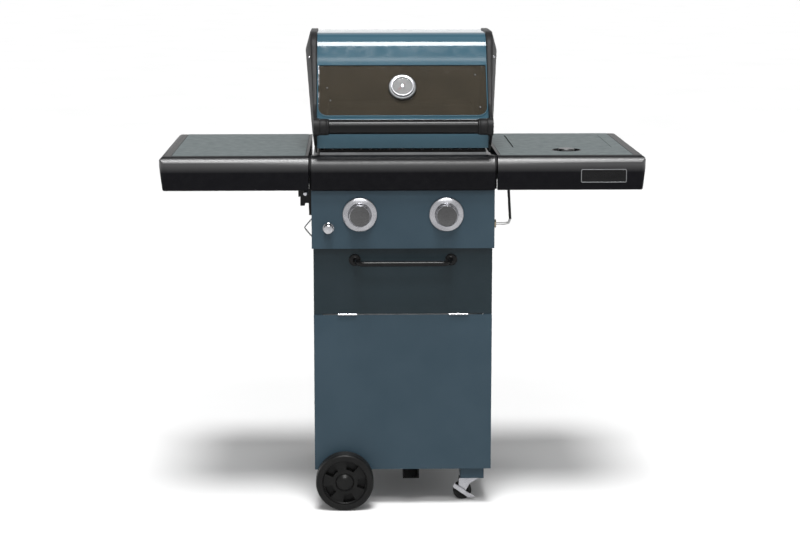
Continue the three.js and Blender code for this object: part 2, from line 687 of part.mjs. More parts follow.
function leftShelf() {
  const { x, z, r } = SHELF_PIVOT;
  const earAt = (y) => {
    const [half, wall, joint] = [8, 3, 851];
    const ear = box(-x - half, -x + half, y, y + wall, z - half, joint + 5);
    const tie = box(SHELF_INNER + 0.5, -x + half, y, y + wall, joint, SHELF_TOP - 4);
    return cut(join(ear, tie), rod([-x, y - 1, z], [-x, y + wall + 1, z], r + 0.4));
  };
  const frame = shelfFrame([earAt(-BRACKET_Y + GAP), earAt(BRACKET_Y - GAP - 3)]);
  part("left_shelf_frame", mirrorX(frame), blackCoat);
  part("left_shelf_top", mirrorX(box(...PLATE_BOX)), platePaint);

  const outline = [
    [-264, SHELF_BOTTOM - 0.5],
    [-264, 805],
    [-259, 805],
    [-259, 782],
    [-248, 782],
    [-246, 789],
    [-238, 789],
    [-237, 758],
    [-CABINET.half, 758],
    [-CABINET.half, SHELF_BOTTOM - 0.5],
  ];
  const drilling = rod([x, -230, z], [x, 230, z], r + 0.4);
  const cheek = BRACKET_Y + 3;
  const bracket = join(
    prismY(outline, -cheek, -BRACKET_Y),
    prismY(outline, BRACKET_Y, cheek),
    box(-CABINET.half - 2, -CABINET.half, -cheek, cheek, 758, SHELF_BOTTOM - 0.5),
  );
  part("shelf_hinge_bracket", cut(bracket, drilling), blackCoat);

  const [end, headR] = [cheek + 4, 7];
  const pivot = join(
    rod([x, -end, z], [x, end, z], r, 12),
    rod([x, -end, z], [x, -cheek - GAP, z], headR, 6),
    rod([x, cheek + GAP, z], [x, end, z], headR, 6),
  );
  part("shelf_pivot_rod", pivot, chrome);
}

function rightShelf() {
  const spacer = { y: 190, half: 12, low: 860, high: 895 };
  const spacers = [-spacer.y, spacer.y].map((y) => {
    return box(CABINET.half, SHELF_INNER + 1, y - spacer.half, y + spacer.half, spacer.low, spacer.high);
  });
  part("right_shelf_frame", shelfFrame(spacers), blackCoat);

  const opening = box(COVER.left, COVER.right, COVER.front, COVER.rear, 900, 920);
  const dishHole = rod([SIDE_KNOB.x, SIDE_KNOB.y, 900], [SIDE_KNOB.x, SIDE_KNOB.y, 920], SIDE_KNOB.hole, 24);
  part("right_shelf_top", cut(box(...PLATE_BOX), opening, dishHole), platePaint);

  const hem = 2;
  const [left, right] = [COVER.left + COVER.grip, COVER.right - COVER.play];
  const [front, rear] = [COVER.front + COVER.play, COVER.rear - COVER.play];
  const lid = cut(
    box(left, right, front, rear, SHELF_TOP - 2.8, SHELF_TOP),
    box(left + hem, right - hem, front + hem, rear - hem, SHELF_TOP - 5, SHELF_TOP - SHEET),
  );
  part("side_burner_cover", lid, platePaint);

  const panTop = SHELF_TOP - PLATE - GAP;
  const neckHole = (z0, z1) => rod([SIDE_BURNER.x, SIDE_BURNER.y, z0], [SIDE_BURNER.x, SIDE_BURNER.y, z1], 13, 20);
  const inCover = (inset, z0, z1) => {
    return box(COVER.left + inset, COVER.right - inset, COVER.front + inset, COVER.rear - inset, z0, z1);
  };
  const pan = cut(
    join(inCover(-PAN.rim, panTop - SHEET, panTop), inCover(PAN.inset, PAN.bottom, panTop)),
    inCover(PAN.inset + SHEET, PAN.bottom + SHEET, panTop + 5),
    neckHole(PAN.bottom - 6, PAN.bottom + 6),
  );
  part("side_burner_pan", pan, blackEnamel);
  sideBurner();
  sideKnob();
}

function sideBurner() {
  const { x, y, gas } = SIDE_BURNER;
  const { half, bore, boreLow } = SIDE_VALVE;
  const [valveX, valveY] = [SIDE_KNOB.x, SIDE_KNOB.y];
  const valve = cut(
    box(valveX - half, valveX + half, valveY - half, valveY + half, SIDE_VALVE.low, SIDE_VALVE.high),
    rod([valveX, valveY, boreLow], [valveX, valveY, SIDE_VALVE.high + 2], bore, 12),
  );
  const venturi = rod([valveX, valveY + half - 1, gas], [x, y, gas], 8, 12);
  const neck = rod([x, y, gas - 6], [x, y, 870], 11, 20);
  const head = turned([[0, 866], [20, 866], [34, 872], [38, 876], [38, 880], [33, 886], [0, 888]], 20);
  part("side_burner", join(valve, venturi, neck, head.translate(x, y, 0)), brass);

  const [reach, bar, eye, low, high] = [100, 7, 28, 893, 903];
  const pieces = [];
  for (const side of [-1, 1]) {
    const edge = side * reach;
    pieces.push(box(x + edge - bar / 2, x + edge + bar / 2, y - reach, y + reach, low, high));
    pieces.push(box(x - reach, x + reach, y + edge - bar / 2, y + edge + bar / 2, low, high));
    const [near, far] = side < 0 ? [-reach, -eye] : [eye, reach];
    pieces.push(box(x + near, x + far, y - bar / 2, y + bar / 2, low, high));
    pieces.push(box(x - bar / 2, x + bar / 2, y + near, y + far, low, high));
    for (const other of [-1, 1]) {
      const [footX, footY] = [x + edge, y + other * reach];
      pieces.push(box(footX - 4, footX + 4, footY - 4, footY + 4, PAN.bottom + SHEET + GAP, low + 2));
    }
  }
  part("side_trivet", join(...pieces), castIron);
}

function sideKnob() {
  const onShelf = new THREE.Group();
  onShelf.position.set(SIDE_KNOB.x, SIDE_KNOB.y, SHELF_TOP);
  grill.add(onShelf);
  const rim = SIDE_KNOB.hole - 0.7;
  const under = -PLATE - GAP; // the flange that holds the dish lies against the underside of the plate
  const dish = [
    [6, -19], [rim, -19], [rim, under - 1.3], [rim + 4, under - 1.3], [rim + 4, under], [rim, under], [rim, 0],
    [rim - 2, 0], [rim - 2, -17.5], [6, -17.5],
  ];
  part("side_knob_dish", turnedRing(dish, 24), blackCoat, onShelf);
  part("side_valve_stem", turned([[0, -62], [3.5, -62], [3.5, -4], [0, -4]], 12), steel, onShelf);
  const knob = [[0, -3], [4, -3], [4, -12.5], [19, -12.5], [20.5, -11], [20.5, 1], [19, 3.2], [16, 4], [0, 4.3]];
  part("side_knob", turned(knob, 20), chrome, onShelf);
}

function toolHook() {
  const y = -205;
  const wire = bentRod([[-228, y, 751], [-250, y, 725.5], [-228, y, 699]], 3, 2, 6, 10);
  const plate = box(-229, -227, y - 6, y + 6, 692, 757);
  part("tool_hook", join(wire, plate), steel);
}

// ---------------------------------------------------------------- lid

const leanY = (z) => LID.front + (z - LID_BEND_Z) * LID_LEAN;
const LEAN_ANGLE = Math.atan(LID_LEAN);

// The lid's outer line in the YZ plane, from the lower front over the top to the lower rear.
const LID_LINE = [
  [LID.front, LID.bottom],
  [LID.front, LID_BEND_Z, 24],
  [leanY(LID.top), LID.top, 70],
  [125, LID.top, 70],
  [LID.rear, 1085, 50],
  [LID.rear, LID.rearBottom],
];

// Turns a piece made flat, with +Z as its outer side and +Y up the slope, onto the lid's leaning front.
function onLean(geometry, z) {
  geometry.rotateX(Math.PI / 2 - LEAN_ANGLE);
  return geometry.translate(0, leanY(z), z);
}

function lid() {
  const skin = prismX(sheetOutline(LID_LINE, -LID.wall), -LID.half, LID.half);
  const middle = (WINDOW.low + WINDOW.high) / 2;
  const climb = (WINDOW.high - WINDOW.low) / 2 / Math.cos(LEAN_ANGLE);
  const opening = onLean(box(-WINDOW.half, WINDOW.half, -climb, climb, -10, 10), middle);
  part("lid_skin", cut(skin, opening), tealPaint);

  const fit = 0.4;
  const [across, up, behind] = [WINDOW.half - fit, climb - fit, -1]; // the pane lies behind the skin's face
  const pane = onLean(box(-across, across, -up, up, behind - WINDOW.pane, behind), middle);
  const gaugeHole = onLean(turned([[0, -20], [6, -20], [6, 20], [0, 20]], 16), GAUGE_Z);
  part("lid_glass", cut(pane, gaugeHole), tintedGlass);

  part("right_lid_cap", lidCap(), blackCoat);
  part("left_lid_cap", mirrorX(lidCap()), blackCoat);

  const tube = cut(
    rod([-HANDLE.half, HANDLE.y, HANDLE.z], [HANDLE.half, HANDLE.y, HANDLE.z], HANDLE.r, 24),
    rod([-HANDLE.half - 5, HANDLE.y, HANDLE.z], [HANDLE.half + 5, HANDLE.y, HANDLE.z], HANDLE.r - 2, 24),
  );
  part("lid_handle", tube, blackCoat);
  gauge();
}

// A hollow casting: a band around the lid's edge, then a slope out to a flat side, narrower at the bottom.
function lidCap() {
  const inner = LID.half + GAP;
  const [band, reach, slope, wall] = [16, 30.3, 45, 4];
  const outline = [
    [LID.front, LID.bottom - 7, 3],
    [205, LID.bottom - 7, 12],
    [LID.rear, 950, 12],
    LID_LINE[4],
    LID_LINE[3],
    LID_LINE[2],
    LID_LINE[1],
  ];
  const at = (grow) => rounded(offset(outline, grow));
  const outer = loftX([
    { x: 0, points: at(LID_RIM) },
    { x: band, points: at(LID_RIM) },
    { x: reach, points: at(LID_RIM - slope) },
  ]);
  const hollow = loftX([
    { x: -1, points: at(LID_RIM - wall) },
    { x: band - wall, points: at(LID_RIM - wall) },
    { x: reach - wall, points: at(LID_RIM - wall - slope) },
  ]);
  const casting = cut(outer, hollow);
  const place = casting.attributes.position;
  const [fullZ, slimZ, slim] = [1167, 960, 0.38];
  for (let i = 0; i < place.count; i += 1) {
    const width = 1 + ((place.getZ(i) - fullZ) * (1 - slim)) / (fullZ - slimZ);
    place.setX(i, inner + place.getX(i) * width);
  }
  const arm = [
    [leanY(1040), 1040],
    ...arc(HANDLE.y, HANDLE.z, HANDLE.cheek, Math.PI / 3, (Math.PI * 5) / 3, 10),
    [LID.front, 935],
  ];
  const armOuter = inner + 6.6;
  const onHandle = (x0, x1, r) => rod([x0, HANDLE.y, HANDLE.z], [x1, HANDLE.y, HANDLE.z], r, 24);
  const collar = onHandle(HANDLE.half + GAP, armOuter - 1, HANDLE.collar);
  const cheek = onHandle(LID.half - 6.5, armOuter, HANDLE.cheek);
  const pin = rod([FIREBOX.half - 6, HINGE.y, HINGE.z], [inner + 8, HINGE.y, HINGE.z], HINGE.r, 12);
  const boss = rod([inner, HINGE.y, HINGE.z], [inner + 8, HINGE.y, HINGE.z], 10, 16);
  return join(casting, prismX(arm, inner, armOuter), collar, cheek, pin, boss);
}

function gauge() {
  const body = [
    [0, -60], [5, -60], [5, -0.7], [35, -0.7], [35, 8], [33, 9.5], [28.5, 10], [28.5, 14], [25, 14], [25, 11], [0, 11],
  ];
  part("gauge", onLean(turned(body, 24), GAUGE_Z), chrome);
  const needle = join(box(-1.2, 1.2, -10, 20, 11.4, 12.2), rod([0, 0, 11.4], [0, 0, 12.6], 3, 12));
  part("gauge_needle", onLean(needle.rotateZ(Math.PI * 0.75), GAUGE_Z), redPointer);
}

// ---------------------------------------------------------------- wheels

function wheelGeometry() {
  const { r, half } = WHEEL;
  const [rim, face, disc, hub] = [57, 12, 6, 20];
  const profile = [
    [0, 20], [5.5, 20], [5.5, -24], [hub, -24], [hub, disc], [rim, disc], [rim, -half], [r - 5, -half],
    [r, -half + 6], [r, half - 6], [r - 5, half], [rim, half], [rim, face], [24, face], [22, 20], [12, 26.5], [0, 28],
  ];
  const pockets = 5;
  const spread = 0.3;
  const tools = [];
  for (let i = 0; i < pockets; i += 1) {
    const middle = (2 * Math.PI * i) / pockets - 0.09;
    const outline = [
      ...arc(0, 0, 54, middle - spread, middle + spread, 2),
      ...arc(0, 0, 33, middle + spread, middle - spread, 1),
    ];
    tools.push(prismZ(outline, 0, 20));
  }
  return cut(turned(profile, 28), ...tools);
}

function wheels() {
  for (const [side, y, turn] of [["front", WHEEL.front, 1], ["rear", WHEEL.rear, -1]]) {
    const mesh = part(`${side}_wheel`, wheelGeometry(), blackPlastic);
    mesh.position.set(WHEEL.x, y, WHEEL.r);
    mesh.rotation.x = (turn * Math.PI) / 2;
  }
  const reach = 18; // how far the axle runs into each hub
  const [start, end] = [WHEEL.front - reach, WHEEL.rear + reach];
  part("wheel_axle", rod([WHEEL.x, start, WHEEL.r], [WHEEL.x, end, WHEEL.r], AXLE_R, 12), steel);
}

function casters() {
  for (const [side, y] of [["front", CASTER.front], ["rear", CASTER.rear]]) {
    const swivel = new THREE.Group();
    swivel.position.set(CASTER.x, y, 0);
    grill.add(swivel);
    part(`${side}_caster_fork`, casterFork(), chrome, swivel);
    const wheel = part(`${side}_caster_wheel`, casterWheel(), blackPlastic, swivel);
    wheel.position.set(-CASTER.trail, 0, CASTER.r);
    wheel.rotation.x = Math.PI / 2;
    if (side === "front") part("front_caster_brake", casterBrake(), steel, swivel);
  }
}

function casterFork() {
  const { r, half, trail, top } = CASTER;
  const crown = top - 9;
  const leg = [[-36, crown], [-38, 30], ...arc(-trail, r, 7, Math.PI, Math.PI * 1.9, 6), [-8, 44], [14, crown]];
  const [near, far] = [half + 2, half + 4];
  return join(
    rod([0, 0, crown], [0, 0, top - GAP], 16, 16),
    box(-36, 14, -far, far, crown - 2, crown + 0.5),
    prismY(leg, near, far),
    prismY(leg, -far, -near),
    rod([-trail, -far - 4, r], [-trail, far + 1, r], 3, 12),
  );
}

function casterWheel() {
  const { r, half } = CASTER;
  const side = [[3.4, half], [r - 2, half], [r, half - 2.5]];
  const back = side.map(([radius, height]) => [radius, -height]).reverse();
  return turnedRing([...side, ...back], 20);
}

// A lever that grips the wheel, across the outside of the fork and turning about the wheel's axle.
function casterBrake() {
  const { r, half, trail } = CASTER;
  const [reach, breadth] = [23, 6];
  const outline = [
    ...arc(reach, 0, breadth, -Math.PI / 2, Math.PI / 2, 6),
    ...arc(-reach, 0, breadth, Math.PI / 2, (Math.PI * 3) / 2, 6),
  ];
  const lever = prismY(outline, -half - 6.3, -half - 4.3);
  const tread = box(-reach - 7, reach + 11, -half - 12, -half - 4.3, breadth - 2, breadth);
  const plate = cut(join(lever, tread), rod([0, -30, 0], [0, 0, 0], 3.4, 12));
  plate.rotateY(THREE.MathUtils.degToRad(35));
  return plate.translate(-trail, 0, r);
}

// ---------------------------------------------------------------- assembly

cabinet();
controlPanel();
frontRail();
firebox();
burner("left", -BURNER_X);
burner("right", BURNER_X);
grate("left", -207, -2);
grate("right", 2, 207);
warmingRack();
gasManifold();
control("left", -KNOB_X);
control("right", KNOB_X);
igniter();
flap();
greaseTray();
leftShelf();
rightShelf();
toolHook();
lid();
wheels();
casters();

export default grill;
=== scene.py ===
import json
import math

import bmesh
import bpy
from mathutils import Matrix, Vector


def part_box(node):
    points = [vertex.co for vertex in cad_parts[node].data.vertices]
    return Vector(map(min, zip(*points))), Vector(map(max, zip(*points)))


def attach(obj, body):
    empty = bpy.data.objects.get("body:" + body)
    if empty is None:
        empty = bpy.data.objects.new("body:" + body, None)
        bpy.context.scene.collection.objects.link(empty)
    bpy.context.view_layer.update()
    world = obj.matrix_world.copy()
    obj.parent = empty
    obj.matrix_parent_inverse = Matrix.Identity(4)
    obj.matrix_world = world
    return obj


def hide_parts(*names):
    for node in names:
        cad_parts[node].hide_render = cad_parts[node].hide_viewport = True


# The looks of a two-burner gas barbecue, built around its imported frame. Shapes are worked out in millimetres
# in the frame's own axes, and become metres when a piece is made.

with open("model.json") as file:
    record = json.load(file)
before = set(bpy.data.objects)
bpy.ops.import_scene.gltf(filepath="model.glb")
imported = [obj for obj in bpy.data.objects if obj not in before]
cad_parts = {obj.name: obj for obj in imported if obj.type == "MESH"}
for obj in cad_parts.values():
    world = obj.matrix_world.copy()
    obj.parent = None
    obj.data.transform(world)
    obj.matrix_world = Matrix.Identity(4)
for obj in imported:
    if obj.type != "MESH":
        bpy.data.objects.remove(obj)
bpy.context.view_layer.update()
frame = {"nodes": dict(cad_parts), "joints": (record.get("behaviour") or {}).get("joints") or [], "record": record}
MM = 0.001
LEFT, RIGHT = -1, 1
SIDE_NAME = {LEFT: "left", RIGHT: "right"}
AXIS_AT = {row["name"]: Vector(row["pos_m"]) / MM for row in frame["joints"] if "pos_m" in row}


def span(node):
    """A node's lowest and highest corners at rest, in millimetres."""
    low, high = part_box(node)
    return low / MM, high / MM


def middle(node):
    low, high = span(node)
    return (low + high) / 2


# ---------------------------------------------------------------- materials

class Finish:
    """A Principled material fed by textures that lie in the object's own metres."""

    def __init__(self, name, metallic=0.0, **uniform):
        self.material = bpy.data.materials.new(name)
        self.material.use_nodes = True
        self.tree = self.material.node_tree
        self.shader = self.tree.nodes["Principled BSDF"]
        self.shader.inputs["Metallic"].default_value = metallic
        for socket, value in uniform.items():
            self.shader.inputs[socket.replace("_", " ")].default_value = value
        self.place = self.node("ShaderNodeTexCoord").outputs["Object"]

    def node(self, kind, **settings):
        made = self.tree.nodes.new(kind)
        for name, value in settings.items():
            setattr(made, name, value)
        return made

    def feed(self, node, socket, source):
        if hasattr(source, "links"):
            self.tree.links.new(source, node.inputs[socket])
        else:
            node.inputs[socket].default_value = source

    def stretched(self, x, y, z):
        mapping = self.node("ShaderNodeMapping")
        self.feed(mapping, "Vector", self.place)
        self.feed(mapping, "Scale", (x, y, z))
        return mapping.outputs["Vector"]

    def noise(self, scale, detail=2.0, place=None):
        made = self.node("ShaderNodeTexNoise")
        self.feed(made, "Vector", place or self.place)
        self.feed(made, "Scale", scale)
        self.feed(made, "Detail", detail)
        return made.outputs["Fac"]

    def cells(self, scale):
        made = self.node("ShaderNodeTexVoronoi", feature="SMOOTH_F1")
        self.feed(made, "Vector", self.place)
        self.feed(made, "Scale", scale)
        return made.outputs["Distance"]

    def spread(self, value, low, high, source=(0.3, 0.7)):
        made = self.node("ShaderNodeMapRange")
        self.feed(made, "Value", value)
        limits = {"From Min": source[0], "From Max": source[1], "To Min": low, "To Max": high}
        for socket, number in limits.items():
            self.feed(made, socket, number)
        return made.outputs["Result"]

    def add(self, first, second, share):
        made = self.node("ShaderNodeMath", operation="MULTIPLY_ADD")
        self.feed(made, 0, second)
        self.feed(made, 1, share)
        self.feed(made, 2, first)
        return made.outputs[0]

    def colours(self, value, first, second):
        made = self.node("ShaderNodeMix", data_type="RGBA")
        factor, a, b = made.inputs[0], made.inputs[6], made.inputs[7]
        self.tree.links.new(value, factor)
        a.default_value = (*first, 1)
        b.default_value = (*second, 1)
        self.tree.links.new(made.outputs[2], self.shader.inputs["Base Color"])

    def roughness(self, value):
        self.feed(self.shader, "Roughness", value)

    def bump(self, height, distance, strength=1.0):
        made = self.node("ShaderNodeBump")
        self.feed(made, "Height", height)
        self.feed(made, "Distance", distance)
        self.feed(made, "Strength", strength)
        self.tree.links.new(made.outputs["Normal"], self.shader.inputs["Normal"])


def powder_coat(name, first, second, roughness, peel, gloss=0.3, coat=0.0):
    """Sprayed paint: colour that wanders a little and a faint orange peel."""
    made = Finish(name, Specular_IOR_Level=gloss, Coat_Weight=coat, Coat_Roughness=0.04)
    made.colours(made.spread(made.noise(9, 4), 0, 1), first, second)
    made.roughness(made.spread(made.noise(45, 3), roughness - 0.05, roughness + 0.06))
    made.bump(made.noise(620, 3), peel)
    return made.material


def pebble(made, first, second, roughness, depth, grain, fine_grain):
    """Gives a finish a pebbled surface, like leather, with a finer grain over it."""
    fine = made.noise(fine_grain, 4)
    made.colours(made.spread(made.noise(60, 5), 0, 1), first, second)
    made.roughness(made.spread(fine, roughness - 0.08, roughness + 0.1))
    made.bump(made.add(made.cells(grain), fine, 0.35), depth)


def grained(name, first, second, roughness, depth, grain, gloss=0.15):
    """A cast, coated or moulded black surface."""
    made = Finish(name, Specular_IOR_Level=gloss)
    pebble(made, first, second, roughness, depth, grain, grain * 4)
    return made.material


def moulded(name, first, second, roughness, depth, low, high):
    """Textured black plastic with a painted sheen: its specular rises between two heights, along its rounded front
    edge, to place a highlight there, and drops again just below the top as painted shade.
    """
    made = Finish(name)
    pebble(made, first, second, roughness, depth, 330, 1300)
    split = made.node("ShaderNodeSeparateXYZ")
    made.feed(split, "Vector", made.place)
    height = split.outputs["Z"]
    # Painted highlight: specular keyed to height, low below 'low', high in the band, then dimmed towards 'high'.
    painted_sheen = made.node("ShaderNodeMath", operation="MULTIPLY")
    made.feed(painted_sheen, 0, made.spread(height, 0.08, 0.95, (low, low + 0.02)))
    made.feed(painted_sheen, 1, made.spread(height, 1.0, 0.14, (high - 0.012, high)))
    made.feed(made.shader, "Specular IOR Level", painted_sheen.outputs[0])
    return made.material


def brushed(name, colour, shade, roughness, stretch, scratch=0.00006):
    """Rolled or brushed metal, with fine lines along one axis."""
    made = Finish(name, metallic=1.0)
    lines = made.noise(900, 3, made.stretched(*stretch))
    made.colours(made.spread(made.noise(30, 3), 0, 1), colour, shade)
    made.roughness(made.spread(lines, roughness - 0.08, roughness + 0.12))
    made.bump(lines, scratch, 0.6)
    return made.material


def plated(name, colour, shade, roughness):
    """Polished plating with faint smears."""
    made = Finish(name, metallic=1.0)
    made.colours(made.spread(made.noise(55, 3), 0, 1), colour, shade)
    made.roughness(made.spread(made.noise(130, 5), roughness * 0.6, roughness * 1.8))
    made.bump(made.noise(240, 2), 0.00002, 0.5)
    return made.material


def cast(name, first, second, roughness):
    """Sand-cast iron, coarse and oiled in patches."""
    made = Finish(name, metallic=0.35)
    made.colours(made.spread(made.noise(35, 5), 0, 1), first, second)
    made.roughness(made.spread(made.noise(80, 4), roughness - 0.15, roughness + 0.12))
    made.bump(made.add(made.noise(420, 4), made.cells(700), 0.5), 0.0004)
    return made.material


def tinted_pane(name):
    """Smoked glass that shows a little of what is behind it."""
    made = Finish(name, Alpha=0.72, Specular_IOR_Level=0.5, Coat_Weight=0.3, Coat_Roughness=0.03)
    made.colours(made.spread(made.noise(14, 4), 0, 1), (0.037, 0.032, 0.024), (0.045, 0.038, 0.028))
    made.roughness(made.spread(made.noise(60, 4), 0.03, 0.07))
    return made.material


def clear_pane(name):
    """A clear lens: nearly all of what lies behind it, under a thin reflection."""
    made = Finish(name, Alpha=0.06, Specular_IOR_Level=0.15)
    made.colours(made.noise(40, 2), (0.5, 0.52, 0.53), (0.6, 0.61, 0.62))
    made.roughness(made.spread(made.noise(90, 3), 0.03, 0.09))
    return made.material


def dial_face(name):
    """The thermometer's matt grey dial."""
    made = Finish(name)
    made.colours(made.spread(made.noise(160, 3), 0, 1), (0.06, 0.06, 0.059), (0.045, 0.045, 0.044))
    made.roughness(made.spread(made.noise(200, 2), 0.4, 0.55))
    return made.material


CABINET_PAINT = powder_coat("cabinet_paint", (0.021, 0.04, 0.055), (0.025, 0.045, 0.061), 0.42, 0.00006, 0.2)
# The flap's paint is the cabinet's teal, darkened as painted shade for the shadow under the control panel.
FLAP_PAINTED_SHADE = powder_coat("flap_painted_shade", (0.007, 0.015, 0.019), (0.01, 0.018, 0.023), 0.42, 0.00006, 0.2)
LID_ENAMEL = powder_coat("lid_enamel", (0.029, 0.069, 0.095), (0.034, 0.077, 0.104), 0.1, 0.00001,
                         gloss=0.12, coat=0.25)
PLATE_PAINT = powder_coat("plate_paint", (0.062, 0.079, 0.081), (0.067, 0.084, 0.086), 0.5, 0.00006, 0.15)
BLACK_COAT = grained("black_coat", (0.002, 0.002, 0.0022), (0.0035, 0.0035, 0.0038), 0.25, 0.00005,
                     grain=600, gloss=0.17)
# Its specular is painted by height: a painted highlight band on the rounded front edge between low and high.
BLACK_MOULDING = moulded("black_moulding", (0.0015, 0.0015, 0.0025), (0.003, 0.003, 0.004), 0.38, 0.00025,
                         low=0.871, high=0.911)
BLACK_CAST = grained("black_cast", (0.006, 0.006, 0.0063), (0.01, 0.01, 0.0104), 0.45, 0.00025, 450)
BLACK_ENAMEL = powder_coat("black_enamel", (0.007, 0.007, 0.0075), (0.011, 0.011, 0.0115), 0.32, 0.00008)
CAST_IRON = cast("cast_iron", (0.014, 0.014, 0.014), (0.028, 0.026, 0.024), 0.7)
STAINLESS = brushed("stainless", (0.4, 0.4, 0.395), (0.33, 0.33, 0.33), 0.3, (0.04, 1, 1))
BRIGHT_EDGE = brushed("bright_edge", (0.21, 0.215, 0.22), (0.17, 0.175, 0.18), 0.36, (0.04, 1, 1))
CHROME = plated("chrome", (0.46, 0.46, 0.48), (0.38, 0.38, 0.4), 0.09)
SATIN_CHROME = brushed("satin_chrome", (0.4, 0.4, 0.42), (0.31, 0.31, 0.33), 0.26, (0.08, 1, 1))
DARK_CHROME = brushed("dark_chrome", (0.1, 0.1, 0.102), (0.08, 0.08, 0.082), 0.3, (0.08, 1, 1))
BRASS = brushed("brass", (0.32, 0.27, 0.18), (0.26, 0.22, 0.15), 0.36, (1, 1, 1))
SMOKED_GLASS = tinted_pane("smoked_glass")
LENS = clear_pane("lens")
DIAL = dial_face("dial")
WHEEL_PLASTIC = grained("wheel_plastic", (0.004, 0.004, 0.004), (0.006, 0.006, 0.0058), 0.36, 0.00008, 700)
RUBBER = grained("caster_rubber", (0.007, 0.007, 0.007), (0.012, 0.012, 0.012), 0.6, 0.0001, 900)
RED_PAINT = powder_coat("red_pointer", (0.14, 0.02, 0.018), (0.11, 0.016, 0.014), 0.4, 0.00002)

SLOT_FINISH = {
    "teal_paint": CABINET_PAINT, "plate_paint": PLATE_PAINT, "black_coat": BLACK_COAT,
    "black_moulding": BLACK_MOULDING, "black_cast": BLACK_CAST, "black_enamel": BLACK_ENAMEL,
    "cast_iron": CAST_IRON, "stainless": STAINLESS, "chrome": CHROME, "brass": BRASS,
    "tinted_glass": SMOKED_GLASS, "wheel_plastic": WHEEL_PLASTIC, "caster_rubber": RUBBER,
    "red_pointer": RED_PAINT,
}
NODE_FINISH = {
    # flap_panel takes the darker copy of the cabinet paint: painted shade.
    "flap_panel": FLAP_PAINTED_SHADE, "firebox_trim": BRIGHT_EDGE, "front_caster_fork": SATIN_CHROME,
    "rear_caster_fork": SATIN_CHROME, "front_caster_brake": SATIN_CHROME,
}

# ---------------------------------------------------------------- outlines and solids

ARC_STEP = math.radians(4)
LEAN = 0.6417  # how far the lid's front goes back for each millimetre up
LEAN_ANGLE = math.atan(LEAN)


def arc(u, v, r, start, end, steps):
    turns = [start + (end - start) * i / steps for i in range(steps + 1)]
    return [(u + r * math.cos(turn), v + r * math.sin(turn)) for turn in turns]


def rounded(corners, closed=True):
    """Replaces each (u, v, radius) corner by an arc. The ends of an open line stay sharp."""
    points = []
    count = len(corners)
    for i, corner in enumerate(corners):
        here, r = Vector(corner[:2]), (corner[2] if len(corner) > 2 else 0)
        if r == 0 or (not closed and i in (0, count - 1)):
            points.append(tuple(here))
            continue
        back = (Vector(corners[i - 1][:2]) - here).normalized()
        ahead = (Vector(corners[(i + 1) % count][:2]) - here).normalized()
        turn = math.pi - back.angle(ahead)
        side = 1 if (-back).cross(ahead) > 0 else -1
        start = here + back * (r * math.tan(turn / 2))
        centre = start + Vector((back.y, -back.x)) * side * r
        first = math.atan2(start.y - centre.y, start.x - centre.x)
        steps = max(2, math.ceil(turn / ARC_STEP))
        points += arc(centre.x, centre.y, r, first, first + side * turn, steps)
    return points


def offset(corners, d, closed=True):
    """Moves each corner of a line to its right by d. Counter-clockwise outlines and their arcs grow."""
    count = len(corners)

    def edge(i):
        a, b = corners[i % count], corners[(i + 1) % count]
        return Vector((b[0] - a[0], b[1] - a[1])).normalized()

    moved = []
    for i, corner in enumerate(corners):
        before = edge(i) if not closed and i == 0 else edge(i - 1)
        after = edge(i - 1) if not closed and i == count - 1 else edge(i)
        miter = Vector((before.y + after.y, -before.x - after.x))
        miter *= 2 * d / miter.length_squared
        r = corner[2] if len(corner) > 2 else 0
        grown = r + (d if before.cross(after) > 0 else -d)
        moved.append((corner[0] + miter.x, corner[1] + miter.y, max(grown, 0.5) if r else 0))
    return moved


def sheet_outline(corners, thickness):
    """The closed outline of a sheet that lies to the right of an open line."""
    return rounded(corners, False) + rounded(offset(corners, thickness, False), False)[::-1]


def loft(sections):
    """A closed skin over rings of equal point counts, with flat ends."""
    made = bmesh.new()
    rings = [[made.verts.new(point) for point in ring] for ring in sections]
    count = len(rings[0])
    for low, high in zip(rings, rings[1:]):
        for i in range(count):
            made.faces.new((low[i], low[(i + 1) % count], high[(i + 1) % count], high[i]))
    made.faces.new(rings[0])
    made.faces.new(rings[-1])
    bmesh.ops.recalc_face_normals(made, faces=made.faces)
    return made


def prism_x(outline, x0, x1):
    return loft([[(x, y, z) for y, z in outline] for x in (x0, x1)])


def prism_y(outline, y0, y1):
    return loft([[(x, y, z) for x, z in outline] for y in (y0, y1)])


def prism_z(outline, z0, z1):
    return loft([[(x, y, z) for x, y in outline] for z in (z0, z1)])


def slab(x0, x1, y0, y1, z0, z1):
    return prism_z([(x0, y0), (x1, y0), (x1, y1), (x0, y1)], z0, z1)


def placed(made, place, axis="z", turn=0.0):
    """Moves a solid made about +Z to a place, with its +Z along the named direction."""
    turned = {
        "z": Matrix.Identity(4),
        "front": Matrix.Rotation(math.pi / 2, 4, "X"),
        "back": Matrix.Rotation(-math.pi / 2, 4, "X"),
        "left": Matrix.Rotation(-math.pi / 2, 4, "Y"),
        "right": Matrix.Rotation(math.pi / 2, 4, "Y"),
        "lean": Matrix.Rotation(math.pi / 2 - LEAN_ANGLE, 4, "X"),
    }[axis]
    matrix = Matrix.Translation(Vector(place)) @ turned @ Matrix.Rotation(turn, 4, "Z")
    bmesh.ops.transform(made, matrix=matrix, verts=made.verts)
    return made


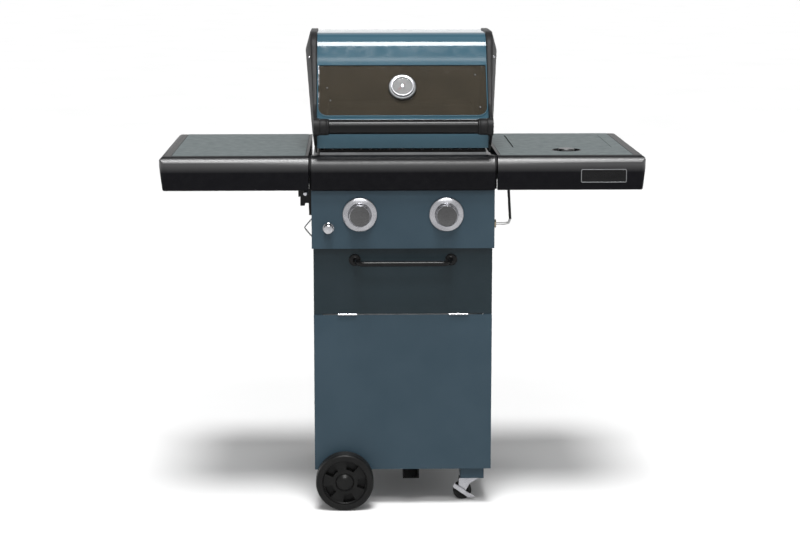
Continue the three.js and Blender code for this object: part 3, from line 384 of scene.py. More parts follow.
def lathe(profile, segments=96):
    """A solid of revolution about Z. The profile closes on itself or starts and ends on the axis."""
    made = bmesh.new()
    rings = []
    for r, h in profile:
        if r < 1e-6:
            rings.append([made.verts.new((0, 0, h))])
        else:
            rings.append([made.verts.new((u, v, h)) for u, v in arc(0, 0, r, 0, 2 * math.pi, segments)[:-1]])
    closes = rings[0] if len(rings[0]) > 1 else None
    for low, high in zip(rings, rings[1:] + ([closes] if closes else [])):
        for i in range(segments):
            j = (i + 1) % segments
            corners = [low[i % len(low)], low[j % len(low)], high[j % len(high)], high[i % len(high)]]
            kept = list(dict.fromkeys(corners))
            if len(kept) > 2:
                made.faces.new(kept)
    bmesh.ops.recalc_face_normals(made, faces=made.faces)
    return made


def bent_line(points, bend, steps=10):
    """Straight runs between the points, joined by bends."""
    corners = [Vector(p) for p in points]
    line = [corners[0]]
    for before, here, after in zip(corners, corners[1:], corners[2:]):
        start = here + (before - here).normalized() * bend
        end = here + (after - here).normalized() * bend
        for i in range(steps + 1):
            t = i / steps
            line.append(start * (1 - t) ** 2 + here * 2 * t * (1 - t) + end * t ** 2)
    line.append(corners[-1])
    return line


def sweep(line, radius, sides=24):
    """A round bar along a line of points."""
    line = [Vector(p) for p in line]
    along = (line[1] - line[0]).normalized()
    across = along.orthogonal().normalized()
    sections = []
    for i, point in enumerate(line):
        before = (point - line[i - 1]).normalized() if i else along
        after = (line[i + 1] - point).normalized() if i + 1 < len(line) else before
        heading = (before + after).normalized()
        across = (across - heading * across.dot(heading)).normalized()
        up = heading.cross(across)
        ring = arc(0, 0, radius, 0, 2 * math.pi, sides)[:-1]
        sections.append([point + across * u + up * v for u, v in ring])
    return loft(sections)


def rod(start, end, radius, sides=32):
    return sweep([start, end], radius, sides)


def together(*solids):
    """Several solids in one piece, as they are."""
    made = bmesh.new()
    for solid in solids:
        held = bpy.data.meshes.new("held")
        solid.to_mesh(held)
        solid.free()
        made.from_mesh(held)
        bpy.data.meshes.remove(held)
    return made


def shaped(base, operation, *tools):
    """base joined with, cut by or kept inside each tool in turn: UNION, DIFFERENCE or INTERSECT."""
    for tool in tools:
        objects = []
        for solid in (base, tool):
            held = bpy.data.meshes.new("held")
            solid.to_mesh(held)
            solid.free()
            objects.append(bpy.data.objects.new("held", held))
            bpy.context.scene.collection.objects.link(objects[-1])
        body, cutter = objects
        modifier = body.modifiers.new("boolean", "BOOLEAN")
        modifier.operation = operation
        modifier.solver = "EXACT"
        modifier.object = cutter
        result = body.evaluated_get(bpy.context.evaluated_depsgraph_get()).to_mesh()
        base = bmesh.new()
        base.from_mesh(result)
        for held in objects:
            mesh = held.data
            bpy.data.objects.remove(held)
            bpy.data.meshes.remove(mesh)
    bmesh.ops.remove_doubles(base, verts=base.verts, dist=0.001)
    bmesh.ops.dissolve_degenerate(base, edges=base.edges, dist=0.001)
    return base


# ---------------------------------------------------------------- making pieces

def soften(piece, width, angle=40):
    """A rolled edge on every sharp corner."""
    bevel = piece.modifiers.new("bevel", "BEVEL")
    bevel.width = width * MM
    bevel.segments = 2
    bevel.limit_method = "ANGLE"
    bevel.angle_limit = math.radians(angle)
    bevel.harden_normals = True
    return piece


def make(name, solid, body, finish, stands_for=(), edge=0.0, angle=35):
    """Makes a smooth-shaded piece of a solid, with edges rolled by so much, and puts it on its body."""
    bmesh.ops.recalc_face_normals(solid, faces=solid.faces)
    mesh = bpy.data.meshes.new(name)
    solid.to_mesh(mesh)
    solid.free()
    mesh.transform(Matrix.Scale(MM, 4))
    mesh.shade_smooth()
    mesh.set_sharp_from_angle(angle=math.radians(angle))
    mesh.materials.append(finish)
    piece = bpy.data.objects.new(name, mesh)
    bpy.context.scene.collection.objects.link(piece)
    if edge:
        soften(piece, edge, max(angle, 40))
    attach(piece, body)
    if stands_for:
        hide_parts(*stands_for)
    return piece


def dress_frame():
    """Gives every CAD node its finish, with welded, softly rolled edges and smooth arcs."""
    slots = {row["node"]: row["material_slot"] for row in frame["record"]["subparts"]}
    thin = ("warming_rack", "gauge_needle", "side_gas_pipe", "tool_hook")
    for name, node in frame["nodes"].items():
        mesh = node.data
        mesh.materials.clear()
        mesh.materials.append(NODE_FINISH.get(name, SLOT_FINISH[slots[name]]))
        if "custom_normal" in mesh.attributes:
            mesh.attributes.remove(mesh.attributes["custom_normal"])
        mesh.shade_smooth()
        weld = node.modifiers.new("weld", "WELD")
        weld.merge_threshold = 0.02 * MM
        if name not in thin:
            soften(node, 0.45)
        split = node.modifiers.new("split", "EDGE_SPLIT")
        split.split_angle = math.radians(32)


def paint_pipe():
    """The gas pipe is painted black where it rises and bare at its lower elbow."""
    mesh = frame["nodes"]["side_gas_pipe"].data
    mesh.materials.append(BLACK_COAT)
    bare_to = 0.75
    for face in mesh.polygons:
        face.material_index = 1 if face.center.z > bare_to else 0


# ---------------------------------------------------------------- lid

SKIN_LOW, SKIN_HIGH = span("lid_skin")
BEND_Z = SKIN_LOW.z + 68.5  # where the lid's upright front starts to lean back
WINDOW_HALF, WINDOW_LOW, WINDOW_HIGH = 213.3, SKIN_LOW.z + 81, SKIN_LOW.z + 202.5
WINDOW_Z = (WINDOW_LOW + WINDOW_HIGH) / 2
WINDOW_CLIMB = (WINDOW_HIGH - WINDOW_LOW) / 2 / math.cos(LEAN_ANGLE)
CAP_RIM = 4  # how far the end castings stand proud of the skin
HANDLE = middle("lid_handle")


def lean_y(z):
    return SKIN_LOW.y + (z - BEND_Z) * LEAN


# The skin's outline seen from its end, from the front's foot over the top to the back's foot.
LID_LINE = [
    (SKIN_LOW.y, SKIN_LOW.z),
    (SKIN_LOW.y, BEND_Z, 24),
    (lean_y(SKIN_HIGH.z), SKIN_HIGH.z, 70),
    (SKIN_HIGH.y - 115, SKIN_HIGH.z, 70),
    (SKIN_HIGH.y, SKIN_LOW.z + 157, 50),
    (SKIN_HIGH.y, SKIN_LOW.z + 32),
]


def on_lean(solid, x, z, proud=0.0):
    """Puts a solid made about +Z on the lid's leaning front, proud of it by so much."""
    out = Vector((0, -math.cos(LEAN_ANGLE), math.sin(LEAN_ANGLE))) * proud
    return placed(solid, Vector((x, lean_y(z), z)) + out, "lean")


def window_outline(inset, corner):
    """The window's outline on the leaning face. Its lower corners are round, its upper ones nearly sharp."""
    climb = WINDOW_CLIMB - inset
    half = min(WINDOW_HALF - inset, SKIN_HIGH.x - 0.3)
    upper = 3
    return rounded([
        (-half, -climb, corner), (half, -climb, corner), (half, climb, upper), (-half, climb, upper),
    ])


def lid_shell():
    """The folded lid sheet, the opening for its window and the raised hem round the opening."""
    skin = prism_x(sheet_outline(LID_LINE, 2), SKIN_LOW.x, SKIN_HIGH.x)
    opening = on_lean(prism_z(window_outline(0, 24), -12, 12), 0, WINDOW_Z)
    skin = shaped(skin, "DIFFERENCE", opening)
    make("lid_shell", skin, "lid", LID_ENAMEL, ["lid_skin"], 0.5)

    pane = on_lean(prism_z(window_outline(0.6, 23.4), -5, -1.2), 0, WINDOW_Z)
    make("window_pane", pane, "lid", SMOKED_GLASS, ["lid_glass"], 0.5)

    outer, inner = window_outline(-3.2, 26), window_outline(0.8, 23.2)
    hem = shaped(prism_z(outer, 0.15, 1.5), "DIFFERENCE", prism_z(inner, -2, 4))
    make("window_hem", on_lean(hem, 0, WINDOW_Z), "lid", LID_ENAMEL, (), 0.4)


def window_fittings():
    """Spring clips along the pane's left edge, as shares of its half height, and the rivets that hold it."""
    left, width, glass_top, clip_top = -WINDOW_HALF + 0.9, 2.4, -1.1, 0.6
    for i, (low, high) in enumerate([(0.62, 0.98), (0.18, 0.55), (-0.42, -0.1), (-0.72, -0.48)]):
        clip = slab(left, left + width, low * WINDOW_CLIMB, high * WINDOW_CLIMB, glass_top, clip_top)
        make(f"window_clip_{i}", on_lean(clip, 0, WINDOW_Z), "lid", CHROME, (), 0.3)

    for i, (x, z) in enumerate([(185, 1107), (196, 1029), (-182, 1046), (-190, 1076)]):
        head = lathe([(0, 0), (2.4, 0), (2.4, 0.7), (1.7, 1.3), (0, 1.5)], 24)
        make(f"window_rivet_{i}", on_lean(head, x, z, glass_top), "lid", DARK_CHROME)


CAP_INNER = SKIN_HIGH.x + 0.3
CAP_BAND, CAP_REACH, CAP_SLOPE, CAP_WALL = 16, 30.3, 45, 4
SOCKET_END = SKIN_HIGH.x - 6.5


def cap_width(z):
    """How much of its full reach an end casting has at a height: it slims towards its foot."""
    full_z, slim_z, slim = 1167, 960, 0.38
    return 1 + (z - full_z) * (1 - slim) / (full_z - slim_z)


def cap_shell(side):
    """A hollow casting: a rounded band round the lid's edge, then a slope out to a flat side."""
    foot, foot_back = SKIN_LOW.z - 7, 205
    outline = [
        (SKIN_LOW.y, foot, 3), (foot_back, foot, 12), (SKIN_HIGH.y, SKIN_LOW.z + 22, 12),
        LID_LINE[4], LID_LINE[3], LID_LINE[2], LID_LINE[1],
    ]

    def ring(across, grow):
        points = rounded(offset(outline, CAP_RIM + grow))
        return [(side * (CAP_INNER + across * cap_width(z)), y, z) for y, z in points]

    outer = loft([
        ring(0, -2), ring(0.6, -0.6), ring(2, 0), ring(CAP_BAND - 3, 0), ring(CAP_BAND - 1, -0.7),
        ring(CAP_BAND + 0.3, -2.4), ring(CAP_REACH - 0.8, -CAP_SLOPE + 1.8), ring(CAP_REACH, -CAP_SLOPE - 1),
    ])
    hollow = loft([
        ring(-1, -CAP_WALL), ring(CAP_BAND - CAP_WALL, -CAP_WALL),
        ring(CAP_REACH - CAP_WALL, -CAP_WALL - CAP_SLOPE),
    ])
    return shaped(outer, "DIFFERENCE", hollow)


def lid_cap(side):
    """An end casting with the arm that carries the handle and the pin that the lid turns on."""
    cheek_r, arm_outer, arm_top, arm_foot = 22, CAP_INNER + 6.6, 1040, 935
    arm = [
        (lean_y(arm_top), arm_top),
        *arc(HANDLE.y, HANDLE.z, cheek_r, math.pi / 3, math.pi * 5 / 3, 40),
        (SKIN_LOW.y, arm_foot),
    ]
    cheek = prism_x(arm, *sorted((side * CAP_INNER, side * arm_outer)))
    disc = rod((side * SOCKET_END, HANDLE.y, HANDLE.z), (side * arm_outer, HANDLE.y, HANDLE.z), cheek_r, 64)
    casting = shaped(cap_shell(side), "UNION", cheek, disc)

    hinge, boss_end, pin_tip = AXIS_AT["lid_hinge"], CAP_INNER + 8, 205
    pin = rod((side * pin_tip, hinge.y, hinge.z), (side * boss_end, hinge.y, hinge.z), 4.5)
    boss = rod((side * CAP_INNER, hinge.y, hinge.z), (side * boss_end, hinge.y, hinge.z), 10)
    casting = shaped(casting, "UNION", pin, boss)
    name = SIDE_NAME[side]
    make(f"{name}_lid_end", casting, "lid", BLACK_CAST, [f"{name}_lid_cap"], 0.6)


def handle_socket(side):
    near, r = span("lid_handle")[1].x + 0.3, 20.5
    length = SOCKET_END - 0.1 - near
    socket = lathe([
        (0, 0), (18.6, 0), (19.6, 0.5), (20, 1.6), (20, 4), (19.4, 4.7), (20, 5.4), (r, 6.4),
        (r, length - 1.4), (r - 0.6, length), (0, length),
    ])
    placed(socket, (side * near, HANDLE.y, HANDLE.z), SIDE_NAME[side])
    make(f"{SIDE_NAME[side]}_handle_socket", socket, "lid", BLACK_CAST)


def end_screw(side):
    """A screw square to the casting's slope, beside the lid's leaning front."""
    screw = lathe([(0, 0), (3.4, 0), (3.4, 0.8), (2.4, 1.8), (0.9, 2.0), (0.9, 1.0), (0, 1.0)], 32)
    z, behind, past_band = 1149, 9.5, 5
    place = (side * (CAP_INNER + (CAP_BAND + past_band) * cap_width(z)), lean_y(z) + behind, z)
    tilt = Matrix.Rotation(side * math.radians(52), 4, "Z") @ Matrix.Rotation(math.radians(72), 4, "X")
    bmesh.ops.transform(screw, matrix=Matrix.Translation(place) @ tilt, verts=screw.verts)
    make(f"{SIDE_NAME[side]}_end_screw", screw, "lid", CHROME)


def lid_handle():
    low, high = span("lid_handle")
    length, r = high.x - low.x, (high.z - low.z) / 2
    wall, bevel = 2, 0.8
    tube = lathe([
        (r - wall, 0), (r - bevel, 0), (r, bevel),
        (r, length - bevel), (r - bevel, length), (r - wall, length),
    ], 128)
    placed(tube, (low.x, HANDLE.y, HANDLE.z), "right")
    make("handle_tube", tube, "lid", BLACK_COAT, ["lid_handle"])


def dial_marks(outer_r, low, high):
    """A ring of marks over three quarters of the dial, each third one longer."""
    marks = []
    count, start, sweep_angle = 19, math.radians(225), math.radians(270)
    for i in range(count):
        turn = start - sweep_angle * i / (count - 1)
        length, half = (4.2, 0.45) if i % 3 == 0 else (2.4, 0.28)
        mark = slab(outer_r - length, outer_r, -half, half, low, high)
        bmesh.ops.transform(mark, matrix=Matrix.Rotation(turn, 4, "Z"), verts=mark.verts)
        marks.append(mark)
    return together(*marks)


def thermometer():
    """The thermometer on the lid's front. Heights are above the leaning face, out along its stem."""
    z = AXIS_AT["gauge_pointer_turn"].z
    body = lathe([
        (0, -60), (4.2, -60), (5, -59), (5, -0.7), (33.5, -0.7), (35, 0.6), (35, 6.8), (34, 8.4),
        (32.4, 9.2), (30.4, 9.4), (29.6, 8.6), (29.6, 7), (0, 7),
    ], 128)
    make("thermometer_case", on_lean(body, 0, z), "lid", BRIGHT_EDGE, ["gauge"])
    bezel = lathe([
        (0, 7.2), (29.3, 7.2), (29.3, 8.8), (28.8, 10), (28.8, 12.6), (27.8, 13.8), (26, 14), (25, 13),
        (25, 10.6), (0, 10.6),
    ], 128)
    make("thermometer_bezel", on_lean(bezel, 0, z), "lid", SATIN_CHROME)
    face = lathe([(0, 10.6), (25, 10.6), (25, 10.9), (0, 10.9)], 96)
    make("thermometer_dial", on_lean(face, 0, z), "lid", DIAL)
    lens = lathe([
        (0, 13.9), (12, 13.7), (20, 13.3), (25, 12.7), (25, 13.1), (20, 13.9), (12, 14.5), (0, 14.8),
    ], 96)
    make("thermometer_lens", on_lean(lens, 0, z), "lid", LENS)
    marks = dial_marks(23, 10.9, 11.05)
    make("thermometer_marks", on_lean(marks, 0, z), "lid", BLACK_ENAMEL)

    arrow = prism_z([(-0.9, -9), (0.9, -9), (1.3, 0), (0.35, 20), (-0.35, 20), (-1.3, 0)], 11.4, 12.0)
    boss = lathe([(0, 11.2), (3, 11.2), (3, 12.2), (2.2, 12.6), (0, 12.6)], 40)
    needle = together(arrow, boss)
    cold = math.radians(135)
    bmesh.ops.transform(needle, matrix=Matrix.Rotation(cold, 4, "Z"), verts=needle.verts)
    make("thermometer_pointer", on_lean(needle, 0, z), "gauge_pointer", RED_PAINT,
         ["gauge_needle"])
    hub = lathe([
        (0, 12.8), (3.3, 12.8), (3.3, 11.3), (6, 11.3), (6, 12.2), (5.2, 12.9), (3, 13.3), (0, 13.4),
    ], 48)
    make("thermometer_hub", on_lean(hub, 0, z), "gauge_pointer", CHROME)


# ---------------------------------------------------------------- rail and shelves

def front_rail():
    """The rail's rounded front, and an ear at each end that closes the gap between it and the shelf."""
    low, high = span("front_rail")
    bullnose = [(low.y + 29, low.z), (low.y, low.z, 6), (low.y, high.z, 28), (high.y, high.z)]
    half, lap = 230, 0.5
    ear_front, ear_back = -236, -231.5
    parts = [prism_x(sheet_outline(bullnose, 3), -half, half)]
    for side in (LEFT, RIGHT):
        ends = sorted((side * (half - 1), side * high.x))
        parts.append(slab(*ends, ear_front, ear_back, low.z + lap, high.z - lap))
    make("rail_bullnose", together(*parts), "cart", BLACK_MOULDING, ["front_rail"], 0.9)


def shelf_form(low, high, inset, bottom):
    """A shelf's outer form, shrunk by inset, standing on the given height. Its free end is at high.x."""
    top_wall, undercut, overhang = 7, 9, 3
    x0, x1, y0, y1 = low.x + inset, high.x - inset, low.y + inset, high.y - inset
    top = high.z - (top_wall if inset else 0)

    def corner(r):
        return max(r - inset, 1)

    side = rounded([
        (y0, bottom, corner(6)), (y1, bottom, corner(4)), (y1, top, corner(4)), (y0, top, corner(28)),
    ])
    plan = rounded([(x0, y0), (x1, y0, corner(22)), (x1, y1, corner(20)), (x0, y1)])
    end = rounded([
        (x0, bottom), (x1 - undercut, bottom, corner(6)), (x1 + overhang, top, corner(16)), (x0, top),
    ])
    form = prism_x(side, x0, x1)
    return shaped(form, "INTERSECT", prism_z(plan, bottom - 1, top + 1), prism_y(end, y0 - 1, y1 + 1))


def shelf_shell(side, plate):
    """The moulded frame of a shelf, made at the right and mirrored for the left."""
    low, high = span("right_shelf_frame")
    low.x = -span("left_shelf_frame")[1].x
    wall, gap, past = 4, 0.8, 5
    shell = shaped(shelf_form(low, high, 0, low.z), "DIFFERENCE", shelf_form(low, high, wall, low.z - 20))
    plate_low, plate_high = span(plate)
    near, far = sorted((abs(plate_low.x), abs(plate_high.x)))
    recess = slab(near - gap, far + gap, plate_low.y - gap, high.y + past, plate_low.z - 0.3, high.z + past)
    under_plate = slab(near + 5, far - 5, plate_low.y + 6, high.y - 9, high.z - 17, high.z + 8)
    inner_notch = slab(low.x - 1, low.x + 6, plate_low.y, high.y - 12, low.z - 6, low.z + 24)
    shell = shaped(shell, "DIFFERENCE", recess, under_plate, inner_notch)
    if side < 0:
        bmesh.ops.scale(shell, vec=(-1, 1, 1), verts=shell.verts)
        bmesh.ops.reverse_faces(shell, faces=shell.faces)
    return shell


def shelves():
    """The right shelf on its two spacers, and the left one on the two ears that it folds on."""
    right = [shelf_shell(RIGHT, "right_shelf_top")]
    for y in (-190, 190):
        right.append(slab(227.2, 238, y - 12, y + 12, 860, 895))
    make("right_shelf_moulding", together(*right), "cart", BLACK_MOULDING,
         ["right_shelf_frame"], 0.8)

    left = [shelf_shell(LEFT, "left_shelf_top")]
    pivot, reach, hole_r, sheet = middle("shelf_pivot_rod"), 8, 4.4, 3
    for y in (-208.7, 205.7):
        ear = slab(pivot.x - reach, pivot.x + reach, y, y + sheet, pivot.z - reach, 856)
        tie = slab(pivot.x - reach, -237.5, y, y + sheet, 851, 908)
        hole = rod((pivot.x, y - 5, pivot.z), (pivot.x, y + 8, pivot.z), hole_r)
        left += [shaped(ear, "DIFFERENCE", hole), tie]
    make("left_shelf_moulding", together(*left), "left_shelf", BLACK_MOULDING,
         ["left_shelf_frame"], 0.8)


def badge():
    """A plain name-plate: a bright border round a black field, with nothing on it."""
    x0, x1, z0, z1 = 445, 560, 845, 879
    face = span("right_shelf_frame")[0].y

    def panel(inset, r):
        left, right, foot, head = x0 + inset, x1 - inset, z0 + inset, z1 - inset
        return rounded([(left, foot, r), (right, foot, r), (right, head, r), (left, head, r)])

    plate, field = panel(0, 4), panel(2, 3)
    border = shaped(prism_y(plate, face - 1.4, face + 0.2), "DIFFERENCE", prism_y(field, face - 4, face + 3))
    make("badge_border", border, "cart", BRIGHT_EDGE, (), 0.3)
    make("badge_field", prism_y(field, face - 0.9, face + 0.1), "cart", BLACK_COAT)


# ---------------------------------------------------------------- controls

def knobs():
    """The burner knobs: a coned bezel, a plated body and a slightly domed face sunk in its rim."""
    for side in ("left", "right"):
        ring = lathe([
            (9, 0), (42.6, 0), (43.5, 0.8), (43.5, 2.6), (42.8, 4.2), (41, 5.3), (37, 7), (31.6, 8.9),
            (30, 9.3), (29, 8.8), (28.7, 7.6), (28.7, 3), (9, 3),
        ], 128)
        centre, base = middle(f"{side}_bezel"), span(f"{side}_bezel")[1].y
        placed(ring, (centre.x, base, centre.z), "front")
        make(f"{side}_knob_bezel", ring, "cart", SATIN_CHROME, [f"{side}_bezel"])

        low, high = span(f"{side}_knob")
        depth = high.y - low.y
        seat = depth - 3
        body = lathe([
            (0, 18), (4.4, 18), (4.4, 0), (26, 0), (27, 0.8), (27.5, 2.4), (27.5, depth - 5),
            (27.3, depth - 2.2), (26.7, depth - 0.7), (26, depth), (25.5, depth - 0.2), (25.2, depth - 0.9),
            (25.1, seat), (0, seat),
        ], 128)
        placed(body, (centre.x, high.y, centre.z), "front")
        make(f"{side}_knob_body", body, f"{side}_control", CHROME, [f"{side}_knob"])
        cap = lathe([
            (0, seat), (24.9, seat), (24.9, depth - 2.2), (22, depth - 1.7), (17, depth - 1.2),
            (12, depth - 0.8), (6, depth - 0.6), (0, depth - 0.5),
        ], 96)
        placed(cap, (centre.x, high.y, centre.z), "front")
        make(f"{side}_knob_face", cap, f"{side}_control", DARK_CHROME)


def igniter():
    """The round button with a domed face, and the collar that it sinks into."""
    low, high = span("igniter_button")
    centre = (low + high) / 2
    length = high.y - low.y
    button = lathe([
        (0, 0), (7.5, 0), (7.5, 15), (11.4, 15), (12.2, 15.8), (12.5, 17), (12.5, 24.4), (12, 25.8),
        (10.8, 27.2), (8.4, 28.6), (4, length - 0.2), (0, length),
    ])
    placed(button, (centre.x, high.y, centre.z), "front")
    make("igniter_dome", button, "igniter", CHROME, ["igniter_button"])
    collar = lathe([(9.4, 0), (14, 0), (14, 0.8), (13.2, 1.5), (10.4, 1.7), (9.4, 1.2)])
    placed(collar, (centre.x, span("control_panel")[0].y - 0.1, centre.z), "front")
    make("igniter_collar", collar, "cart", CHROME)


def side_knob():
    """The side burner's knob in its round dish, which ends flush with the shelf's plate."""
    centre = middle("side_knob_dish")
    shelf_top = span("right_shelf_top")[1].z
    dish = lathe([
        (6, -19), (37.6, -19), (38.3, -18), (38.3, -4.6), (42.3, -4.6), (42.3, -3.3), (38.3, -3.3),
        (38.3, -0.6), (37.9, 0), (36.9, 0), (36.3, -0.8), (35.6, -15), (34.4, -16.8), (32, -17.5),
        (6, -17.5),
    ], 96)
    placed(dish, (centre.x, centre.y, shelf_top))
    make("side_dish", dish, "cart", BLACK_COAT, ["side_knob_dish"])
    knob = lathe([
        (0, -3), (4, -3), (4, -12.5), (19, -12.5), (20, -12), (20.5, -11), (20.5, 0.6), (20, 2.4),
        (18.6, 3.6), (16.6, 4), (15.6, 3.7), (8, 4.2), (0, 4.3),
    ], 96)
    placed(knob, (centre.x, centre.y, shelf_top))
    make("side_knob_body", knob, "side_control", DARK_CHROME, ["side_knob"])


# ---------------------------------------------------------------- flap

def flap_handle():
    """A bent bar between two round flanges."""
    low, high = span("flap_handle")
    face, flange_r, r = high.y, 15, 6.5
    mount_x, mount_z = high.x - flange_r, high.z - flange_r
    bar_x, bar_y, bar_z = 112, low.y + r, 642.5
    ends = [(side * mount_x, face - 1, mount_z) for side in (LEFT, RIGHT)]
    line = bent_line([ends[0], (-bar_x, bar_y, bar_z), (bar_x, bar_y, bar_z), ends[1]], 17, 14)
    parts = [sweep(line, r, 32)]
    for side in (LEFT, RIGHT):
        flange = lathe([(0, 0), (flange_r, 0), (flange_r, 2), (13.4, 3.6), (9, 4), (6.6, 6), (0, 6)], 64)
        parts.append(placed(flange, (side * mount_x, face, mount_z), "front"))
    make("flap_handle_bar", together(*parts), "flap", BLACK_COAT, ["flap_handle"])


def flap_knuckles():
    """The three barrels of each flap hinge, a little apart on one pin."""
    r, bevel, gap, count = 2.4, 0.3, 0.4, 3
    for side in ("left", "right"):
        low, high = span(f"{side}_flap_hinge")
        pitch = (high.x - low.x) / count
        length = pitch - gap
        barrels = []
        for i in range(count):
            barrel = lathe([
                (0, 0), (r - bevel, 0), (r, bevel), (r, length - bevel), (r - bevel, length), (0, length),
            ], 32)
            barrels.append(placed(barrel, (low.x + pitch * i + gap / 2, low.y + r, low.z + r), "right"))
        make(f"{side}_knuckle", together(*barrels), "cart", CHROME)


# ---------------------------------------------------------------- wheels

def wheel_solid():
    """The moulded wheel about +Z: a grooved tread, a sunk web with five pockets and a stepped, domed hub."""
    r, half = 74, 22
    tread = []
    grooves, shoulder = 4, 9
    for i in range(grooves):
        at = -half + shoulder + i * (2 * half - 2 * shoulder) / (grooves - 1)
        tread += [(r, at - 1.3), (r - 1.1, at - 0.6), (r - 1.1, at + 0.6), (r, at + 1.3)]
    wheel = lathe([
        (0, 20), (5.5, 20), (5.5, -24), (19, -24), (20, -23), (20, -8), (57, -8), (57, -20.5), (58.5, -half),
        (r - 6, -half), (r - 2.5, -20.6), (r - 0.7, -18), *tread, (r - 0.7, 18), (r - 2.5, 20.6),
        (r - 6, half), (59.4, half), (57.6, 21), (56.8, 18), (56.2, 13.5), (54.5, 12), (26, 12), (24, 13),
        (22.8, 16.5), (21.6, 19), (20.6, 20.4), (18.4, 21.4), (16.8, 23.4), (13.5, 25.8), (8, 27.5), (0, 28),
    ], 120)
    pockets, spread, first = 5, 0.3, -0.09
    for i in range(pockets):
        mid = first + 2 * math.pi * i / pockets
        start, end = mid - spread, mid + spread
        outline = [*arc(0, 0, 54, start, end, 8), *arc(0, 0, 33, end, start, 5)]
        wheel = shaped(wheel, "DIFFERENCE", prism_z(outline, -4, 30))
    return wheel


def wheels():
    hub_reach = 28
    for side, facing in (("front", "front"), ("rear", "back")):
        low, high = span(f"{side}_wheel")
        centre = (low + high) / 2
        hub_y = low.y + hub_reach if side == "front" else high.y - hub_reach
        wheel = placed(wheel_solid(), (centre.x, hub_y, centre.z), facing)
        make(f"{side}_wheel_moulding", wheel, f"{side}_roller", WHEEL_PLASTIC,
             [f"{side}_wheel"], 0.5)


def casters():
    """The caster wheels, grooved beside their hubs, and the nuts on their axles."""
    for side in ("front", "rear"):
        low, high = span(f"{side}_caster_wheel")
        centre = (low + high) / 2
        r, half = (high.z - low.z) / 2, (high.y - low.y) / 2
        tyre = lathe([
            (3.4, -half), (8, -half), (9, -half + 1.4), (14.5, -half + 1.4), (15.5, -half), (r - 3, -half),
            (r - 1, -half + 1), (r, -half + 3), (r, half - 3), (r - 1, half - 1), (r - 3, half),
            (15.5, half), (14.5, half - 1.4), (9, half - 1.4), (8, half), (3.4, half),
        ], 72)
        placed(tyre, (centre.x, centre.y, centre.z), "front")
        make(f"{side}_caster_tyre", tyre, f"{side}_caster_roller", RUBBER,
             [f"{side}_caster_wheel"])
        fork_front = span(f"{side}_caster_fork")[0].y
        hexagon = 6
        nut = lathe([(0, 0), (5.6, 0), (5.6, 2.4), (4.8, 3.2), (0, 3.2)], hexagon)
        placed(nut, (centre.x, fork_front + 0.6, centre.z), "back")
        make(f"{side}_caster_nut", nut, f"{side}_caster", CHROME, (), 0.3)


# ---------------------------------------------------------------- fasteners

def screw_head():
    """A pan-head screw with a cross recess, standing on z = 0."""
    r, slot_half, slot_foot = 3.2, 0.35, 1.2
    head = lathe([(0, 0), (r, 0), (r, 0.5), (r * 0.85, 1.5), (r * 0.5, 2.0), (0, 2.1)], 32)
    slot = slab(-r * 0.5, r * 0.5, -slot_half, slot_half, slot_foot, 3)
    cross = slab(-slot_half, slot_half, -r * 0.5, r * 0.5, slot_foot, 3)
    return shaped(head, "DIFFERENCE", slot, cross)


def screws(name, places, facing):
    heads = [placed(screw_head(), place, facing) for place in places]
    make(name, together(*heads), "cart", CHROME)


def fasteners():
    """The brace's screws at the back, the bracket's screws at the left, and the head of the pivot rod."""
    flange_x, edge_gap = 214, 14
    back = span("left_side_panel")[1].y
    brace_low, brace_high = span("rear_brace")
    heights = (brace_low.z + edge_gap, brace_high.z - edge_gap)
    screws("rear_screws", [(side * flange_x, back, z) for side in (LEFT, RIGHT) for z in heights], "back")

    plate_x, row_z = -229.2, 768
    screws("bracket_screws", [(plate_x, y, row_z) for y in (-180, 0, 180)], "left")

    pivot = middle("shelf_pivot_rod")
    bolt = lathe([(0, 0), (6.4, 0), (6.4, 1.2), (5.4, 2.4), (2.6, 3.4), (0, 3.6)], 40)
    placed(bolt, (pivot.x, span("shelf_pivot_rod")[0].y, pivot.z), "front")
    make("pivot_bolt_head", bolt, "cart", CHROME)


# ---------------------------------------------------------------- stage

def stage():
    """A plain pale floor, far wider than the picture."""
    half = 40.0
    corners = [(-half, -half, 0), (half, -half, 0), (half, half, 0), (-half, half, 0)]
    mesh = bpy.data.meshes.new("floor")
    mesh.from_pydata(corners, [], [(0, 1, 2, 3)])
    floor = bpy.data.objects.new("floor", mesh)
    bpy.context.scene.collection.objects.link(floor)
    pale = Finish("pale_floor", Specular_IOR_Level=0.1)
    pale.colours(pale.spread(pale.noise(1.5, 3), 0, 1), (0.61, 0.61, 0.61), (0.63, 0.63, 0.63))
    pale.roughness(pale.spread(pale.noise(8, 2), 0.85, 0.95))
    mesh.materials.append(pale.material)


def softbox(name, place, target, width, height, power):
    light = bpy.data.lights.new(name, "AREA")
    light.shape = "RECTANGLE"
    light.size, light.size_y = width, height
    light.energy = power
    box = bpy.data.objects.new(name, light)
    box.location = place
    box.rotation_euler = (Vector(target) - Vector(place)).to_track_quat("-Z", "Y").to_euler()
    bpy.context.scene.collection.objects.link(box)


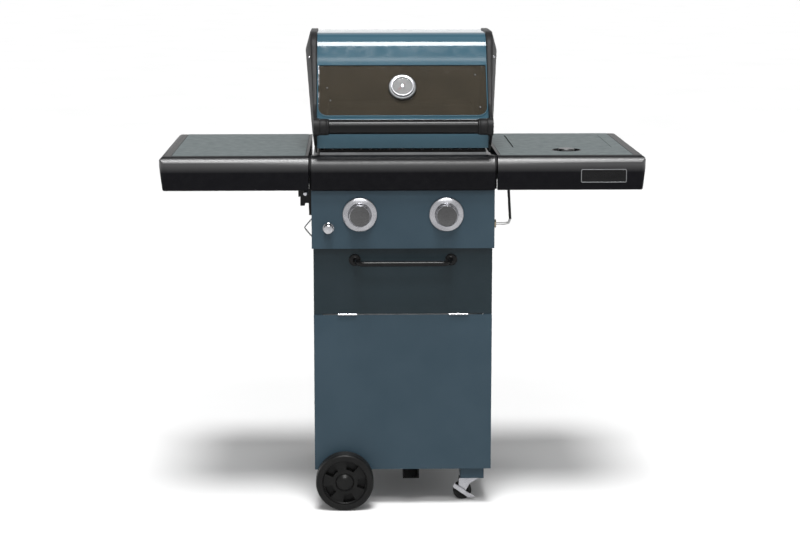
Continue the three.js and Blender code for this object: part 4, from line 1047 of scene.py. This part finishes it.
def sky():
    """Even studio light that fades with height. The band that the lid's leaning front mirrors is dark."""
    world = bpy.data.worlds.new("studio")
    bpy.context.scene.world = world
    world.use_nodes = True
    tree = world.node_tree
    place = tree.nodes.new("ShaderNodeTexCoord")
    split = tree.nodes.new("ShaderNodeSeparateXYZ")
    ramp = tree.nodes.new("ShaderNodeValToRGB")
    tree.links.new(place.outputs["Generated"], split.inputs["Vector"])
    tree.links.new(split.outputs["Z"], ramp.inputs["Fac"])
    stops = [(0.0, 1.0), (0.1, 1.0), (0.25, 0.85), (0.66, 0.65), (0.76, 0.03), (0.9, 0.03), (0.92, 0.5)]
    while len(ramp.color_ramp.elements) < len(stops):
        ramp.color_ramp.elements.new(0.5)
    for element, (at, level) in zip(ramp.color_ramp.elements, stops):
        element.position = at
        element.color = (level, level, level, 1)
    tree.links.new(ramp.outputs["Color"], tree.nodes["Background"].inputs["Color"])
    tree.nodes["Background"].inputs["Strength"].default_value = 1.1


def sun():
    """A broad lamp high in front. It keeps the floor white and mirrors as a stripe in the lid's top."""
    light = bpy.data.lights.new("sun", "SUN")
    light.energy = 3.6
    light.angle = math.radians(19)
    lamp = bpy.data.objects.new("sun", light)
    lamp.rotation_euler = (math.radians(15.5), 0, 0)
    bpy.context.scene.collection.objects.link(lamp)


def lighting():
    """The sky and the sun, a thin strip that mirrors in the lid's top and a broad key on the fronts."""
    sky()
    sun()
    softbox("strip", (0.0, -1.547, 3.84), (0.0, -0.126, 1.14), 3.0, 0.03, 3.2)
    softbox("front_key", (0.0, -2.9, 3.7), (0.0, -0.25, 0.8), 2.4, 1.0, 75)


def camera():
    """A long lens in front, a little above the lid and looking down by some 10 degrees."""
    lens = bpy.data.cameras.new("camera")
    lens.lens = 85.5
    lens.sensor_width = 36.0
    made = bpy.data.objects.new("camera", lens)
    made.location = (-0.1265, -4.9712, 1.4637)
    made.rotation_euler = (math.radians(90 - 9.99), 0.0, math.radians(-1.437))
    bpy.context.scene.collection.objects.link(made)
    bpy.context.scene.camera = made
    bpy.context.scene.view_settings.view_transform = "Standard"


# ---------------------------------------------------------------- assembly

camera()
lighting()
stage()
dress_frame()
paint_pipe()
lid_shell()
window_fittings()
for end in (LEFT, RIGHT):
    lid_cap(end)
    handle_socket(end)
    end_screw(end)
lid_handle()
thermometer()
front_rail()
shelves()
badge()
knobs()
igniter()
side_knob()
flap_handle()
flap_knuckles()
wheels()
casters()
fasteners()
